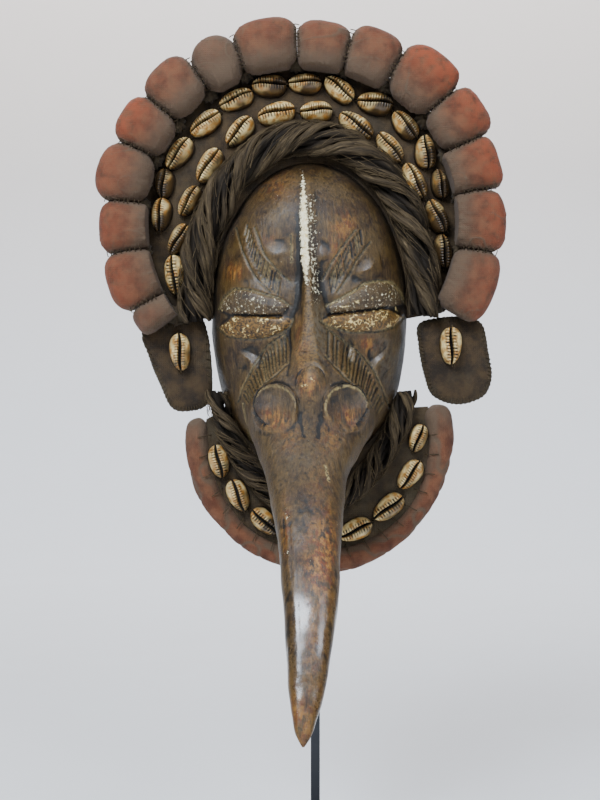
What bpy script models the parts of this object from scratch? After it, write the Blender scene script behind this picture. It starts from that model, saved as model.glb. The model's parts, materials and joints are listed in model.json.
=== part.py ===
"""A bird-beaked wooden face mask with a padded cloth headdress and collar, on its steel stand.

Metres, +Z up, the front towards -Y. The origin is the centre of the foot's underside.
The mask's rim lies in a plane facing +Y, and every other depth is measured from that plane.
"""

import math

import bmesh
import bpy
import numpy as np

FIT_GAP = 0.0003  # space between pieces that touch

# Stand
FOOT_WIDTH = 0.150
FOOT_DEPTH = 0.140
FOOT_THICKNESS = 0.008
FOOT_EDGE = 0.0015
BAR_SIDE = 0.006
UPRIGHT_Y = 0.030
CROSS_BAR_OVERLAP = 0.003  # reach of the cross bar past the widest part of the hollow's mouth, each side
HOOK_REACH = 0.020
HOOK_CLEARANCE = 0.0015
RIM_Y = UPRIGHT_Y - 1.5 * BAR_SIDE - 2 * FIT_GAP

# Mask
FACE_X = -0.004
FACE_Z = 0.365  # height of the widest part of the face
FACE_HALF_WIDTH = 0.064
FOREHEAD_RISE = 0.092
CHIN_DROP = 0.107
FACE_DEPTH = 0.058
SIDE_WALL = 0.010
FRONT_WALL = 0.012
DOME_POWER = 3.2
BROW_POWER = 2.0
JAW_POWER = 2.5
EYE_SPREAD = 0.034  # from the nose line to each eye's middle
LEFT_EYE_UP = -0.008
RIGHT_EYE_UP = -0.004
EYE_HALF_WIDTH = 0.024
EYE_HALF_HEIGHT = 0.016
EYE_BULGE = 0.005
CUP_RADIUS = 0.0135
CUP_SPREAD = 0.0215  # from the nose line to each round cup's centre
CUP_DEPTH = 0.0045
CUP_LENGTH = 0.030
CUP_Z = 0.2965
CUP_FORWARD = 0.0905
KNOB_RADIUS = 0.007
KNOB_Z = 0.3095
KNOB_FORWARD = 0.083

# The muzzle and beak at each height: height, reach in front of the rim plane, width, thickness, sideways place.
BEAK_STATIONS = (
    (0.3280, 0.056, 0.0300, 0.0450, -0.0040),
    (0.3180, 0.070, 0.0540, 0.0600, -0.0040),
    (0.3090, 0.077, 0.0700, 0.0680, -0.0038),
    (0.2965, 0.085, 0.0770, 0.0720, -0.0034),
    (0.2820, 0.094, 0.0770, 0.0740, -0.0034),
    (0.2700, 0.103, 0.0650, 0.0700, -0.0046),
    (0.2535, 0.114, 0.0490, 0.0560, -0.0062),
    (0.2380, 0.125, 0.0435, 0.0460, -0.0056),
    (0.2206, 0.136, 0.0380, 0.0380, -0.0048),
    (0.1889, 0.154, 0.0320, 0.0290, -0.0042),
    (0.1582, 0.169, 0.0245, 0.0210, -0.0054),
    (0.1281, 0.181, 0.0140, 0.0115, -0.0074),
    (0.1180, 0.184, 0.0070, 0.0060, -0.0083),
    (0.1140, 0.185, 0.0012, 0.0010, -0.0085),
)

# Headdress
CREST_X = FACE_X - 0.005
CREST_Z = FACE_Z + 0.049
BAND_RADIUS = 0.1045
BAND_SLOPE = 0.20
BAND_THICKNESS = 0.007
BAND_OUTER_FORWARD = 0.0104
BAND_ENDS = (213.0, -31.0)  # degrees round the crest's centre
BAND_RIM_ENDS = (184.0, -4.0)  # degrees round the face
LOBE_DEPTH = 0.033
LOBE_INNER_RADIUS = 0.1008  # the band is flat under the pads and rises as a cone inside them
LOBE_STEP_RADIUS = 0.109  # outside this the stuffed pads bulge behind the band
ROPE_RADIUS = 0.0098
ROPE_LOBE = 0.0011
ROPE_OUT = 0.0095  # from the face's widest line to the rope's middle
ROPE_UP = 0.011
ROPE_TURNS = 6.5
ROPE_ENDS = (188.0, -6.0)

# Stuffed pads of the crest, clockwise from the lower left: angle, radius of the middle, radial size, size along the rim.
LOBES = (
    (211.5, 0.109, 0.027, 0.018),
    (199.2, 0.1135, 0.0365, 0.039),
    (181.2, 0.1130, 0.0350, 0.033),
    (164.7, 0.1180, 0.0360, 0.038),
    (148.2, 0.1175, 0.0360, 0.035),
    (133.9, 0.1185, 0.0355, 0.037),
    (117.3, 0.1150, 0.0355, 0.0335),
    (102.3, 0.1160, 0.0335, 0.043),
    (82.7, 0.1135, 0.0320, 0.0355),
    (67.4, 0.1155, 0.0360, 0.035),
    (48.6, 0.1200, 0.0400, 0.043),
    (34.2, 0.1200, 0.0380, 0.036),
    (18.0, 0.1145, 0.0360, 0.032),
    (1.1, 0.1130, 0.0360, 0.037),
    (-20.5, 0.1160, 0.0340, 0.042),
)

# Ear flaps: corners seen from the front, out from the side of the face and up from its widest part.
FLAP_THICKNESS = 0.012
FLAP_FORWARD = 0.0074  # from the rim plane to the flap's back
LEFT_FLAP = (
    (0.0450, -0.0250), (0.0280, -0.0195), (0.0070, -0.0145), (0.0010, -0.0280), (-0.0005, -0.0580),
    (0.0045, -0.0675), (0.0150, -0.0705), (0.0270, -0.0680), (0.0340, -0.0540), (0.0400, -0.0400),
)
RIGHT_FLAP = (
    (0.0075, -0.0170), (0.0270, -0.0130), (0.0460, -0.0150), (0.0520, -0.0300), (0.0545, -0.0490),
    (0.0490, -0.0620), (0.0320, -0.0680), (0.0160, -0.0610), (0.0100, -0.0450), (0.0065, -0.0300),
)

# Collar
COLLAR_X = FACE_X + 0.006
COLLAR_Z = FACE_Z - CHIN_DROP + 0.016
COLLAR_RADIUS = 0.0795  # to the middle of the red roll
COLLAR_ENDS = (169.5, 377.0)
COLLAR_RIM_ENDS = (217.0, 323.0)
COLLAR_THICKNESS = 0.006
COLLAR_FORWARD = 0.0124
ROLL_RADIUS = 0.0075
ROLL_FORWARD = 0.0104
FIBRE_RADIUS = 0.0072
FIBRE_IN = 0.003  # from the face's widest line in to the strip's middle
FIBRE_RISE = 0.0455  # the strip's ends over the chin's lowest point
FIBRE_DROP = 0.078
FIBRE_ASIDE = 0.001
FIBRE_POWER = 1.5
FIBRE_ENDS = (176.0, 364.0)

COWRIE_HEIGHT = 0.0085
COWRIE_SLIT = 0.0022
# Cowries: angle and radius round the crest, direction of the long axis in degrees, length, width.
CREST_COWRIES = (
    (201.6, 0.0880, 93, 0.0255, 0.0140), (187.0, 0.0795, 60, 0.0215, 0.0130), (176.0, 0.0910, 82, 0.0215, 0.0135),
    (163.5, 0.0925, 88, 0.0190, 0.0130), (150.0, 0.0915, 52, 0.0235, 0.0145), (133.7, 0.0900, 38, 0.0230, 0.0140),
    (117.7, 0.0910, 20, 0.0230, 0.0135), (103.2, 0.0920, 2, 0.0225, 0.0150), (88.7, 0.0910, -2, 0.0215, 0.0140),
    (74.6, 0.0905, -38, 0.0225, 0.0140), (59.0, 0.0915, -8, 0.0230, 0.0155), (44.0, 0.0925, -48, 0.0215, 0.0140),
    (30.3, 0.0925, -88, 0.0220, 0.0145), (16.4, 0.0930, -78, 0.0190, 0.0115), (3.6, 0.0870, -66, 0.0225, 0.0140),
    (-10.6, 0.0925, -80, 0.0220, 0.0130), (168.5, 0.0735, 57, 0.0215, 0.0125), (148.0, 0.0700, 60, 0.0245, 0.0150),
    (124.0, 0.0715, 48, 0.0230, 0.0140), (103.0, 0.0725, 15, 0.0245, 0.0155), (82.7, 0.0725, 0, 0.0210, 0.0150),
    (61.3, 0.0720, -35, 0.0250, 0.0150), (41.0, 0.0745, -54, 0.0230, 0.0140), (21.0, 0.0775, -61, 0.0250, 0.0135),
)
# The same round the collar.
COLLAR_COWRIES = (
    (192.0, 0.0662, 100, 0.0215, 0.0140), (214.5, 0.0635, 114, 0.0215, 0.0140), (236.5, 0.0635, 134, 0.0215, 0.0140),
    (1.0, 0.0645, 72, 0.0185, 0.0120), (-20.8, 0.0635, 52, 0.0215, 0.0135), (-44.0, 0.0630, 40, 0.0230, 0.0145),
    (-68.0, 0.0630, 22, 0.0230, 0.0145), (268.0, 0.0630, -3, 0.0220, 0.0145),
)
# On the ear flaps: out from the side of the face and up from its widest part, direction, length, width.
FLAP_COWRIES = (
    (0.0195, -0.0340, 96, 0.0240, 0.0140),
    (0.0272, -0.0300, 88, 0.0240, 0.0145),
)

COLOURS = {
    "blackened_wood": ((0.085, 0.062, 0.042), 0.42, 0.0),
    "red_cloth": ((0.26, 0.10, 0.07), 0.85, 0.0),
    "dark_cloth": ((0.10, 0.08, 0.06), 0.9, 0.0),
    "plant_fibre": ((0.09, 0.075, 0.06), 0.9, 0.0),
    "shell": ((0.72, 0.55, 0.32), 0.35, 0.0),
    "black_steel": ((0.012, 0.013, 0.016), 0.45, 0.9),
}


def material(slot):
    """The named finish, made once."""
    found = bpy.data.materials.get(slot)
    if found:
        return found
    colour, roughness, metallic = COLOURS[slot]
    made = bpy.data.materials.new(slot)
    made.use_nodes = True
    shader = made.node_tree.nodes["Principled BSDF"]
    shader.inputs["Base Color"].default_value = (*colour, 1.0)
    shader.inputs["Roughness"].default_value = roughness
    shader.inputs["Metallic"].default_value = metallic
    return made


def add_object(name, mesh, slot, group):
    """Links a mesh to a collection as a named piece."""
    made = bpy.data.objects.new(name, mesh)
    if slot:
        mesh.materials.append(material(slot))
    mesh.shade_smooth()
    mesh.set_sharp_from_angle(angle=math.radians(40))
    group.objects.link(made)
    return made


def mesh_of(name, bm):
    """A mesh with its faces pointing out."""
    bm.normal_update()
    bmesh.ops.recalc_face_normals(bm, faces=bm.faces)
    mesh = bpy.data.meshes.new(name)
    bm.to_mesh(mesh)
    bm.free()
    return mesh


def loft(name, rings, pole=False):
    """A closed solid through rings of points, each a closed loop; the first ring may shrink to a pole."""
    bm = bmesh.new()
    loops = [[bm.verts.new(point) for point in ring] for ring in rings[1 if pole else 0:]]
    for lower, upper in zip(loops, loops[1:]):
        for i, corner in enumerate(lower):
            following = (i + 1) % len(lower)
            bm.faces.new((corner, lower[following], upper[following], upper[i]))
    if pole:
        tip = bm.verts.new(rings[0][0])
        for i, corner in enumerate(loops[0]):
            bm.faces.new((tip, loops[0][(i + 1) % len(loops[0])], corner))
    else:
        bm.faces.new(loops[0][::-1])
    bm.faces.new(loops[-1])
    return mesh_of(name, bm)


def smooth_step(value):
    """0 below 0, 1 above 1, and smooth between."""
    t = np.clip(value, 0.0, 1.0)
    return t * t * (3.0 - 2.0 * t)


def signed_power(value, power):
    return math.copysign(abs(value) ** power, value)


def outline(degrees, grow=0.0):
    """A point of the mask's rim, sideways and up, at an angle round the face; grow moves it outwards."""
    angle = math.radians(degrees)
    upper = math.sin(angle) >= 0
    rise = FOREHEAD_RISE if upper else CHIN_DROP
    power = 2.0 / (BROW_POWER if upper else JAW_POWER)
    x = signed_power(math.cos(angle), power) * (FACE_HALF_WIDTH + grow)
    z = signed_power(math.sin(angle), power) * (rise + grow)
    return FACE_X + x, FACE_Z + z


def outline_forward(degrees, forward):
    """A point beside the face at a depth in front of the rim plane, a fitting gap away from the wood."""
    share = math.sin(math.acos(forward / FACE_DEPTH)) ** (2.0 / DOME_POWER)
    x, z = outline(degrees)
    x, z = share * (x - FACE_X), share * (z - FACE_Z)
    out = 1.0 + 2 * FIT_GAP / math.hypot(x, z)
    return FACE_X + out * x, FACE_Z + out * z


def face_relief(x, z):
    """Height of the carving over the plain dome: a keel down the brow, the nose, two almond eyes and hollow cheeks.

    The keel, nose and cheeks are shares of the face's half width.
    """
    across, up = x / FACE_HALF_WIDTH, z / FACE_HALF_WIDTH
    along_nose = smooth_step((0.47 - up) / 1.17)
    keel_height = 0.034 + 0.133 * along_nose
    keel_width = 0.0625 + 0.0703 * along_nose
    keel = keel_height * np.exp(-((across / keel_width) ** 2)) * smooth_step((1.375 - up) / 0.19)
    cheek = -0.055 * np.exp(-(((np.abs(across) - 0.47) / 0.28) ** 2) - (((up + 0.72) / 0.31) ** 2))
    eyes = 0.0
    for side, rise in ((-1, LEFT_EYE_UP), (1, RIGHT_EYE_UP)):
        along = (x - side * EYE_SPREAD) / EYE_HALF_WIDTH
        above = (z - rise) / EYE_HALF_HEIGHT
        inside = np.clip(1.0 - along**2 - np.abs(above) ** 1.6, 0.0, 1.0)
        eyes = eyes + EYE_BULGE * np.sqrt(inside)
    return (keel + cheek) * FACE_HALF_WIDTH + eyes


def face_dome():
    """The outside of the face: rings round the front, each a scaled copy of the rim's outline, on a rounded dome."""
    around, rings = 48, 15
    slope = np.linspace(0.0, 1.0, rings + 1) ** 1.35 * math.pi / 2
    share = np.sin(slope) ** (2.0 / DOME_POWER)
    forward = FACE_DEPTH * np.cos(slope)
    angles = np.arange(around) * 360.0 / around
    edge = np.array([outline(a) for a in angles]) - (FACE_X, FACE_Z)
    x = share[:, None] * edge[None, :, 0]
    z = share[:, None] * edge[None, :, 1]
    fade = smooth_step((1.0 - share) / 0.10)[:, None]
    y = RIM_Y - forward[:, None] - face_relief(x, z) * fade
    points = np.stack([x + FACE_X, y, z + FACE_Z], axis=-1)
    return loft("face_dome", points.tolist(), pole=True)


def beak_section(height, sides):
    """The beak's ring at a height: a rounded four-sided section, its front face on the ridge line."""
    levels = np.array(BEAK_STATIONS)[::-1]
    reach, width, thick, place = (np.interp(height, levels[:, 0], levels[:, k]) for k in range(1, 5))
    ring = []
    for i in range(sides):
        angle = 2 * math.pi * (i + 0.5) / sides
        across = signed_power(math.cos(angle), 0.80)
        front = signed_power(math.sin(angle), 0.85)
        ring.append((place + across * width / 2, RIM_Y - reach + thick / 2 - front * thick / 2, height))
    return ring


def beak():
    """Muzzle and beak as one loft down the stations, with a level between each pair."""
    heights = [row[0] for row in BEAK_STATIONS]
    middles = [(a + b) / 2 for a, b in zip(heights, heights[1:])][2:-1]
    levels = sorted(heights + middles, reverse=True)
    return loft("beak", [beak_section(level, 16) for level in levels])


def turned(name, profile, sides):
    """A solid turned about -Y: profile points are radius and distance along -Y, first point on the axis."""
    rings = []
    for radius, along in profile:
        turn = [2 * math.pi * i / sides for i in range(sides)]
        rings.append([(radius * math.cos(t), -along, radius * math.sin(t)) for t in turn])
    return loft(name, rings, pole=True)


def cup(side, cutters):
    """A round hollow-faced cup beside the nose."""
    profile = (
        (0.0, -CUP_DEPTH),
        (CUP_RADIUS * 0.62, -CUP_DEPTH * 0.62),
        (CUP_RADIUS * 0.88, -0.0004),
        (CUP_RADIUS, -0.0012),
        (CUP_RADIUS * 1.04, -CUP_LENGTH * 0.4),
        (CUP_RADIUS * 0.90, -CUP_LENGTH),
    )
    made = add_object(f"cup_{side}", turned("cup", profile, 18), None, cutters)
    made.location = (FACE_X + side * CUP_SPREAD, RIM_Y - CUP_FORWARD, CUP_Z)
    made.rotation_euler = (math.radians(8), 0.0, math.radians(10) * side)
    return made


def hollow_size():
    """Middle height and half sizes (sideways, deep, up) of the hollow behind the face."""
    top = FACE_Z + FOREHEAD_RISE - SIDE_WALL
    bottom = FACE_Z - CHIN_DROP + SIDE_WALL
    return (top + bottom) / 2, FACE_HALF_WIDTH - SIDE_WALL, FACE_DEPTH - FRONT_WALL, (top - bottom) / 2


def hollow_cutter(cutters):
    """An egg shape that hollows the mask from behind."""
    middle, across, deep, up = hollow_size()
    bm = bmesh.new()
    bmesh.ops.create_uvsphere(bm, u_segments=20, v_segments=12, radius=1.0)
    bmesh.ops.scale(bm, verts=bm.verts, vec=(across, deep, up))
    made = add_object("hollow", mesh_of("hollow", bm), None, cutters)
    made.location = (FACE_X, RIM_Y, middle)
    return made


def combine(target, other, operation):
    """Adds a Boolean that joins another shape to the target or cuts it away."""
    modifier = target.modifiers.new(other.name, "BOOLEAN")
    modifier.operation = operation
    modifier.object = other


def hide(helpers):
    for helper in helpers:
        helper.hide_render = True
        helper.display_type = "WIRE"


def build_mask(group, cutters):
    """The one wooden piece: face, nose, cups and beak, hollow behind."""
    mask = add_object("mask", face_dome(), "blackened_wood", group)
    bm = bmesh.new()
    bmesh.ops.create_uvsphere(bm, u_segments=10, v_segments=7, radius=KNOB_RADIUS)
    knob = add_object("knob", mesh_of("knob", bm), None, cutters)
    knob.location = (FACE_X, RIM_Y - KNOB_FORWARD, KNOB_Z)
    joined = [add_object("beak", beak(), None, cutters), cup(-1, cutters), cup(1, cutters), knob]
    hollow = hollow_cutter(cutters)
    for shape in joined:
        combine(mask, shape, "UNION")
    combine(mask, hollow, "DIFFERENCE")
    hide([*joined, hollow])


def crest_point(degrees, radius):
    angle = math.radians(degrees)
    return CREST_X + radius * math.cos(angle), CREST_Z + radius * math.sin(angle)


def band_front(radius):
    """Depth of the band's face: flat outside, and a cone rising towards the face inside."""
    return RIM_Y - BAND_OUTER_FORWARD - BAND_SLOPE * max(LOBE_INNER_RADIUS - radius, 0.0)


def crest_radius(x, z):
    return math.hypot(x - CREST_X, z - CREST_Z)


def band():
    """The dark cloth crescent round the top of the face, sewn along its rim."""
    steps = 38
    rings = []
    for i in range(steps + 1):
        t = i / steps
        angle = BAND_ENDS[0] + t * (BAND_ENDS[1] - BAND_ENDS[0])
        at_rim = BAND_RIM_ENDS[0] + t * (BAND_RIM_ENDS[1] - BAND_RIM_ENDS[0])
        depth = RIM_Y - band_front(crest_radius(*outline(at_rim)))
        inner = outline_forward(at_rim, depth)
        fold = crest_point(angle, LOBE_INNER_RADIUS)
        middle = ((inner[0] + fold[0]) / 2, (inner[1] + fold[1]) / 2)
        front = [
            (x, band_front(crest_radius(x, z)), z)
            for x, z in (inner, middle, fold, crest_point(angle, BAND_RADIUS))
        ]
        back = [(x, y + BAND_THICKNESS, z) for x, y, z in reversed(front)]
        x, z = outline_forward(at_rim, depth - BAND_THICKNESS)
        back[-1] = (x, back[-1][1], z)
        rings.append(front + back)
    return loft("headdress_band", rings)


def lobe_bounds():
    """Angles between neighbouring pads, shared out by their sizes along the rim."""
    bounds = [LOBES[0][0] + math.degrees(LOBES[0][3] / 2 / LOBES[0][1])]
    for first, second in zip(LOBES, LOBES[1:]):
        share = first[3] / (first[3] + second[3])
        bounds.append(first[0] + share * (second[0] - first[0]))
    bounds.append(LOBES[-1][0] - math.degrees(LOBES[-1][3] / 2 / LOBES[-1][1]))
    return bounds


def lobe(number, row, high, low):
    """A stuffed pad: a plump rounded box, flat where it meets its neighbours and the band."""
    angle, middle, radial, along = row
    bm = bmesh.new()
    bmesh.ops.create_uvsphere(bm, u_segments=10, v_segments=7, radius=1.0)
    centre_y = band_front(BAND_RADIUS) - FIT_GAP - LOBE_DEPTH / 2 + 0.0015
    for vertex in bm.verts:
        out, deep, aside = (signed_power(c, 0.78) for c in vertex.co)
        radius = max(middle + out * radial / 2, LOBE_INNER_RADIUS)
        turn = angle + math.degrees(aside * along / 2 / middle)
        gap = math.degrees(FIT_GAP / 2 / radius) * 1.6
        turn = min(max(turn, low + gap), high - gap)
        back = band_front(BAND_RADIUS) - FIT_GAP + max(radius - LOBE_STEP_RADIUS, 0.0) * 0.7
        x, z = crest_point(turn, radius)
        vertex.co = (x, min(centre_y + deep * LOBE_DEPTH / 2, back), z)
    return mesh_of(f"pad_{number:02d}", bm)


def tube_rings(route, radii):
    """Rings of points carried along a route in the sideways-up plane; radii gives each ring's radii by side."""
    route = np.array(route)
    along = np.gradient(route, axis=0)
    along /= np.linalg.norm(along, axis=1)[:, None]
    rings = []
    for point, direction, ring in zip(route, along, radii):
        outwards = np.array((direction[2], 0.0, -direction[0]))
        outwards /= np.linalg.norm(outwards)
        forward = np.cross(direction, outwards)
        turn = 2 * math.pi * np.arange(len(ring)) / len(ring)
        spokes = np.cos(turn)[:, None] * outwards + np.sin(turn)[:, None] * forward
        rings.append((point + np.array(ring)[:, None] * spokes).tolist())
    return rings


def rope():
    """The twisted fibre rope over the brow, on the band and against the face."""
    steps, sides = 42, 12
    route, radii = [], []
    for i in range(steps + 1):
        t = i / steps
        angle = math.radians(ROPE_ENDS[0] + t * (ROPE_ENDS[1] - ROPE_ENDS[0]))
        x = FACE_X + (FACE_HALF_WIDTH + ROPE_OUT) * math.cos(angle)
        z = FACE_Z + (FOREHEAD_RISE + ROPE_UP) * math.sin(angle)
        lift = ROPE_RADIUS * math.hypot(1.0, BAND_SLOPE) + 2 * FIT_GAP
        route.append((x, band_front(crest_radius(x, z)) - lift, z))
        turn = [2 * math.pi * (j / sides + ROPE_TURNS / 3 * t) for j in range(sides)]
        end = min(1.0, 0.72 + 6 * min(t, 1 - t))
        radii.append([(ROPE_RADIUS - ROPE_LOBE * (1 - math.cos(3 * a))) * end for a in turn])
    return loft("brow_rope", tube_rings(route, radii))


def beside_face(side, out, up):
    """A place measured out from the face's side (-1 left, 1 right) and up from its widest part."""
    return FACE_X + side * (FACE_HALF_WIDTH + out), FACE_Z + up


def flap(name, side, corners):
    """A flat stuffed flap: rings of its outline, drawn in towards a crowned front and a flatter back."""
    corners = np.array([beside_face(side, out, up) for out, up in corners])
    centre = corners.mean(axis=0)
    back = RIM_Y - FLAP_FORWARD
    rings = []
    for share, forward in ((0.0, 1.0), (0.55, 0.93), (0.90, 0.72), (1.0, 0.42), (0.97, 0.15), (0.86, 0.0)):
        ring = centre + share * (corners - centre)
        rings.append([(x, back - forward * FLAP_THICKNESS, z) for x, z in ring])
    return loft(name, rings, pole=True)


def collar_point(degrees, radius):
    angle = math.radians(degrees)
    return COLLAR_X + radius * math.cos(angle), COLLAR_Z + radius * math.sin(angle)


def collar():
    """The dark cloth under the jaw, from the rim out to the red roll."""
    steps = 30
    outer_radius = COLLAR_RADIUS - ROLL_RADIUS - FIT_GAP
    front = RIM_Y - COLLAR_FORWARD
    rings = []
    for i in range(steps + 1):
        t = i / steps
        at_rim = COLLAR_RIM_ENDS[0] + t * (COLLAR_RIM_ENDS[1] - COLLAR_RIM_ENDS[0])
        inner = outline_forward(at_rim, COLLAR_FORWARD - COLLAR_THICKNESS)
        outer = collar_point(COLLAR_ENDS[0] + t * (COLLAR_ENDS[1] - COLLAR_ENDS[0]), outer_radius)
        ring = [(x, front, z) for x, z in (inner, outer)]
        rings.append(ring + [(x, y + COLLAR_THICKNESS, z) for x, y, z in reversed(ring)])
    return loft("collar_cloth", rings)


def roll():
    """The red stuffed roll round the collar's edge."""
    steps, sides = 30, 8
    route, radii = [], []
    for i in range(steps + 1):
        t = i / steps
        x, z = collar_point(COLLAR_ENDS[0] + t * (COLLAR_ENDS[1] - COLLAR_ENDS[0]), COLLAR_RADIUS)
        route.append((x, RIM_Y - ROLL_FORWARD, z))
        radii.append([ROLL_RADIUS * min(1.0, 0.62 + 9 * min(t, 1 - t))] * sides)
    return loft("collar_roll", tube_rings(route, radii))


def chin_fibre():
    """The plaited fibre strip that runs under the jaw, on the collar."""
    steps, sides = 34, 8
    route, radii = [], []
    for i in range(steps + 1):
        t = i / steps
        angle = math.radians(FIBRE_ENDS[0] + t * (FIBRE_ENDS[1] - FIBRE_ENDS[0]))
        x = FACE_X + FIBRE_ASIDE + (FACE_HALF_WIDTH - FIBRE_IN) * signed_power(math.cos(angle), 2 / FIBRE_POWER)
        z = FACE_Z - CHIN_DROP + FIBRE_RISE + FIBRE_DROP * signed_power(math.sin(angle), 2 / FIBRE_POWER)
        route.append((x, RIM_Y - COLLAR_FORWARD - FIBRE_RADIUS - FIT_GAP, z))
        swell = 1.0 - 0.07 * (1 - math.cos(2 * math.pi * 11 * t))
        radii.append([FIBRE_RADIUS * swell * min(1.0, 0.7 + 8 * min(t, 1 - t))] * sides)
    return loft("chin_fibre", tube_rings(route, radii))


def cowrie(name, place, lean, direction, size):
    """A cowrie sewn mouth outwards: an egg-shaped dome with its long slit, on a flat ground base.

    place is on the cloth, lean is the cloth's slope away from the crest's centre (sideways, up).
    """
    length, width = size
    sides = 10
    rings = []
    for share, height in ((0.0, 1.0), (0.42, 0.97), (0.82, 0.66), (1.0, 0.0)):
        ring = []
        for i in range(sides):
            turn = 2 * math.pi * i / sides
            along = share * math.cos(turn)
            across = share * math.sin(turn) * (1 + 0.10 * along)
            slit = COWRIE_SLIT * math.exp(-((across / 0.22) ** 2)) * (1 - share**4)
            ring.append((along * length / 2, -(height * COWRIE_HEIGHT - slit), across * width / 2))
        rings.append(ring)
    mesh = loft(name, rings, pole=True)
    heading = math.radians(direction)
    long_axis = np.array((math.cos(heading), 0.0, math.sin(heading)))
    normal = np.array((lean[0], -1.0, lean[1]))
    normal /= np.linalg.norm(normal)
    long_axis -= normal * (long_axis @ normal)
    long_axis /= np.linalg.norm(long_axis)
    side_axis = np.cross(normal, long_axis)
    origin = np.array(place) + normal * FIT_GAP * 1.5
    for vertex in mesh.vertices:
        a, b, c = vertex.co
        vertex.co = origin + a * long_axis - b * normal + c * side_axis
    return mesh


def crest_cowrie(number, row):
    angle, radius, direction, length, width = row
    x, z = crest_point(angle, radius)
    turn = math.radians(angle)
    lean = (BAND_SLOPE * math.cos(turn), BAND_SLOPE * math.sin(turn))
    return cowrie(f"cowrie_{number:02d}", (x, band_front(radius), z), lean, direction, (length, width))


def collar_cowrie(number, row):
    angle, radius, direction, length, width = row
    x, z = collar_point(angle, radius)
    place = (x, RIM_Y - COLLAR_FORWARD, z)
    return cowrie(f"collar_cowrie_{number}", place, (0.0, 0.0), direction, (length, width))


def flap_cowrie(name, side, row):
    out, up, direction, length, width = row
    x, z = beside_face(side, out, up)
    place = (x, RIM_Y - FLAP_FORWARD - FLAP_THICKNESS, z)
    return cowrie(name, place, (0.0, 0.0), direction, (length, width))


def flat_bar(name, corners, group):
    """A bar bent in the depth-up plane: its side outline, extruded to the bar's width and centred on x = 0."""
    bm = bmesh.new()
    left = [bm.verts.new((-BAR_SIDE / 2, y, z)) for y, z in corners]
    face = bm.faces.new(left)
    grown = bmesh.ops.extrude_face_region(bm, geom=[face])
    moved = [item for item in grown["geom"] if isinstance(item, bmesh.types.BMVert)]
    bmesh.ops.translate(bm, verts=moved, vec=(BAR_SIDE, 0.0, 0.0))
    return add_object(name, mesh_of(name, bm), "black_steel", group)


def box(name, size, centre, edge, group):
    """A steel block with eased edges."""
    bm = bmesh.new()
    bmesh.ops.create_cube(bm, size=1.0)
    bmesh.ops.scale(bm, verts=bm.verts, vec=size)
    if edge:
        bmesh.ops.bevel(bm, geom=bm.edges[:], offset=edge, segments=1, affect="EDGES")
    made = add_object(name, mesh_of(name, bm), "black_steel", group)
    made.location = centre
    return made


def hollow_ceiling(x, y):
    """Height of the hollow's ceiling over a place."""
    middle, across, deep, up = hollow_size()
    left = 1.0 - ((x - FACE_X) / across) ** 2 - ((RIM_Y - y) / deep) ** 2
    return middle + up * math.sqrt(max(left, 0.0))


def build_stand(group):
    """Foot plate, upright bar with its hook inside the mask, and the cross bar behind the cheeks."""
    box(
        "foot_plate",
        (FOOT_WIDTH, FOOT_DEPTH, FOOT_THICKNESS),
        (0.0, 0.0, FOOT_THICKNESS / 2),
        FOOT_EDGE,
        group,
    )
    half = BAR_SIDE / 2
    tip_y = RIM_Y - HOOK_REACH
    hook_top = hollow_ceiling(half, tip_y) - HOOK_CLEARANCE
    bottom = FOOT_THICKNESS + FIT_GAP
    corners = (
        (UPRIGHT_Y - half, bottom),
        (UPRIGHT_Y + half, bottom),
        (UPRIGHT_Y + half, hook_top),
        (tip_y, hook_top),
        (tip_y, hook_top - BAR_SIDE),
        (UPRIGHT_Y - half, hook_top - BAR_SIDE),
    )
    flat_bar("upright_and_hook", corners, group)
    length = 2 * (FACE_HALF_WIDTH - SIDE_WALL + CROSS_BAR_OVERLAP)
    place = (FACE_X, UPRIGHT_Y - BAR_SIDE - FIT_GAP, FACE_Z)
    box("cross_bar", (length, BAR_SIDE, BAR_SIDE), place, 0.0, group)


def main():
    for old in list(bpy.data.objects):
        bpy.data.objects.remove(old)
    group = bpy.data.collections.new("bird_beaked_mask")
    cutters = bpy.data.collections.new("shaping_helpers")
    for made in (group, cutters):
        bpy.context.scene.collection.children.link(made)
    build_stand(group)
    build_mask(group, cutters)
    add_object("headdress_band", band(), "dark_cloth", group)
    bounds = lobe_bounds()
    for number, row in enumerate(LOBES, 1):
        made = lobe(number, row, bounds[number - 1], bounds[number])
        add_object(f"stuffed_pad_{number:02d}", made, "red_cloth", group)
    add_object("brow_rope", rope(), "plant_fibre", group)
    add_object("ear_flap_left", flap("ear_flap_left", -1, LEFT_FLAP), "dark_cloth", group)
    add_object("ear_flap_right", flap("ear_flap_right", 1, RIGHT_FLAP), "dark_cloth", group)
    add_object("collar_cloth", collar(), "dark_cloth", group)
    add_object("collar_roll", roll(), "red_cloth", group)
    add_object("chin_fibre", chin_fibre(), "plant_fibre", group)
    for number, row in enumerate(CREST_COWRIES, 1):
        add_object(f"crest_cowrie_{number:02d}", crest_cowrie(number, row), "shell", group)
    for number, row in enumerate(COLLAR_COWRIES, 1):
        add_object(f"collar_cowrie_{number}", collar_cowrie(number, row), "shell", group)
    for name, side, row in zip(("flap_cowrie_left", "flap_cowrie_right"), (-1, 1), FLAP_COWRIES):
        add_object(name, flap_cowrie(name, side, row), "shell", group)


main()
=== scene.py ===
"""Dresses a bird-beaked wooden mask with its padded cloth headdress and collar, on a steel stand.

Metres, +Z up, the face towards -Y. The CAD bodies come in as a fixed frame, and every visible
surface is built here over them: carved wood, stuffed cotton, twisted fibre, cowries and threads.
"""

from __future__ import annotations

import json
import logging
import math
from dataclasses import dataclass
from enum import Enum

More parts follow.
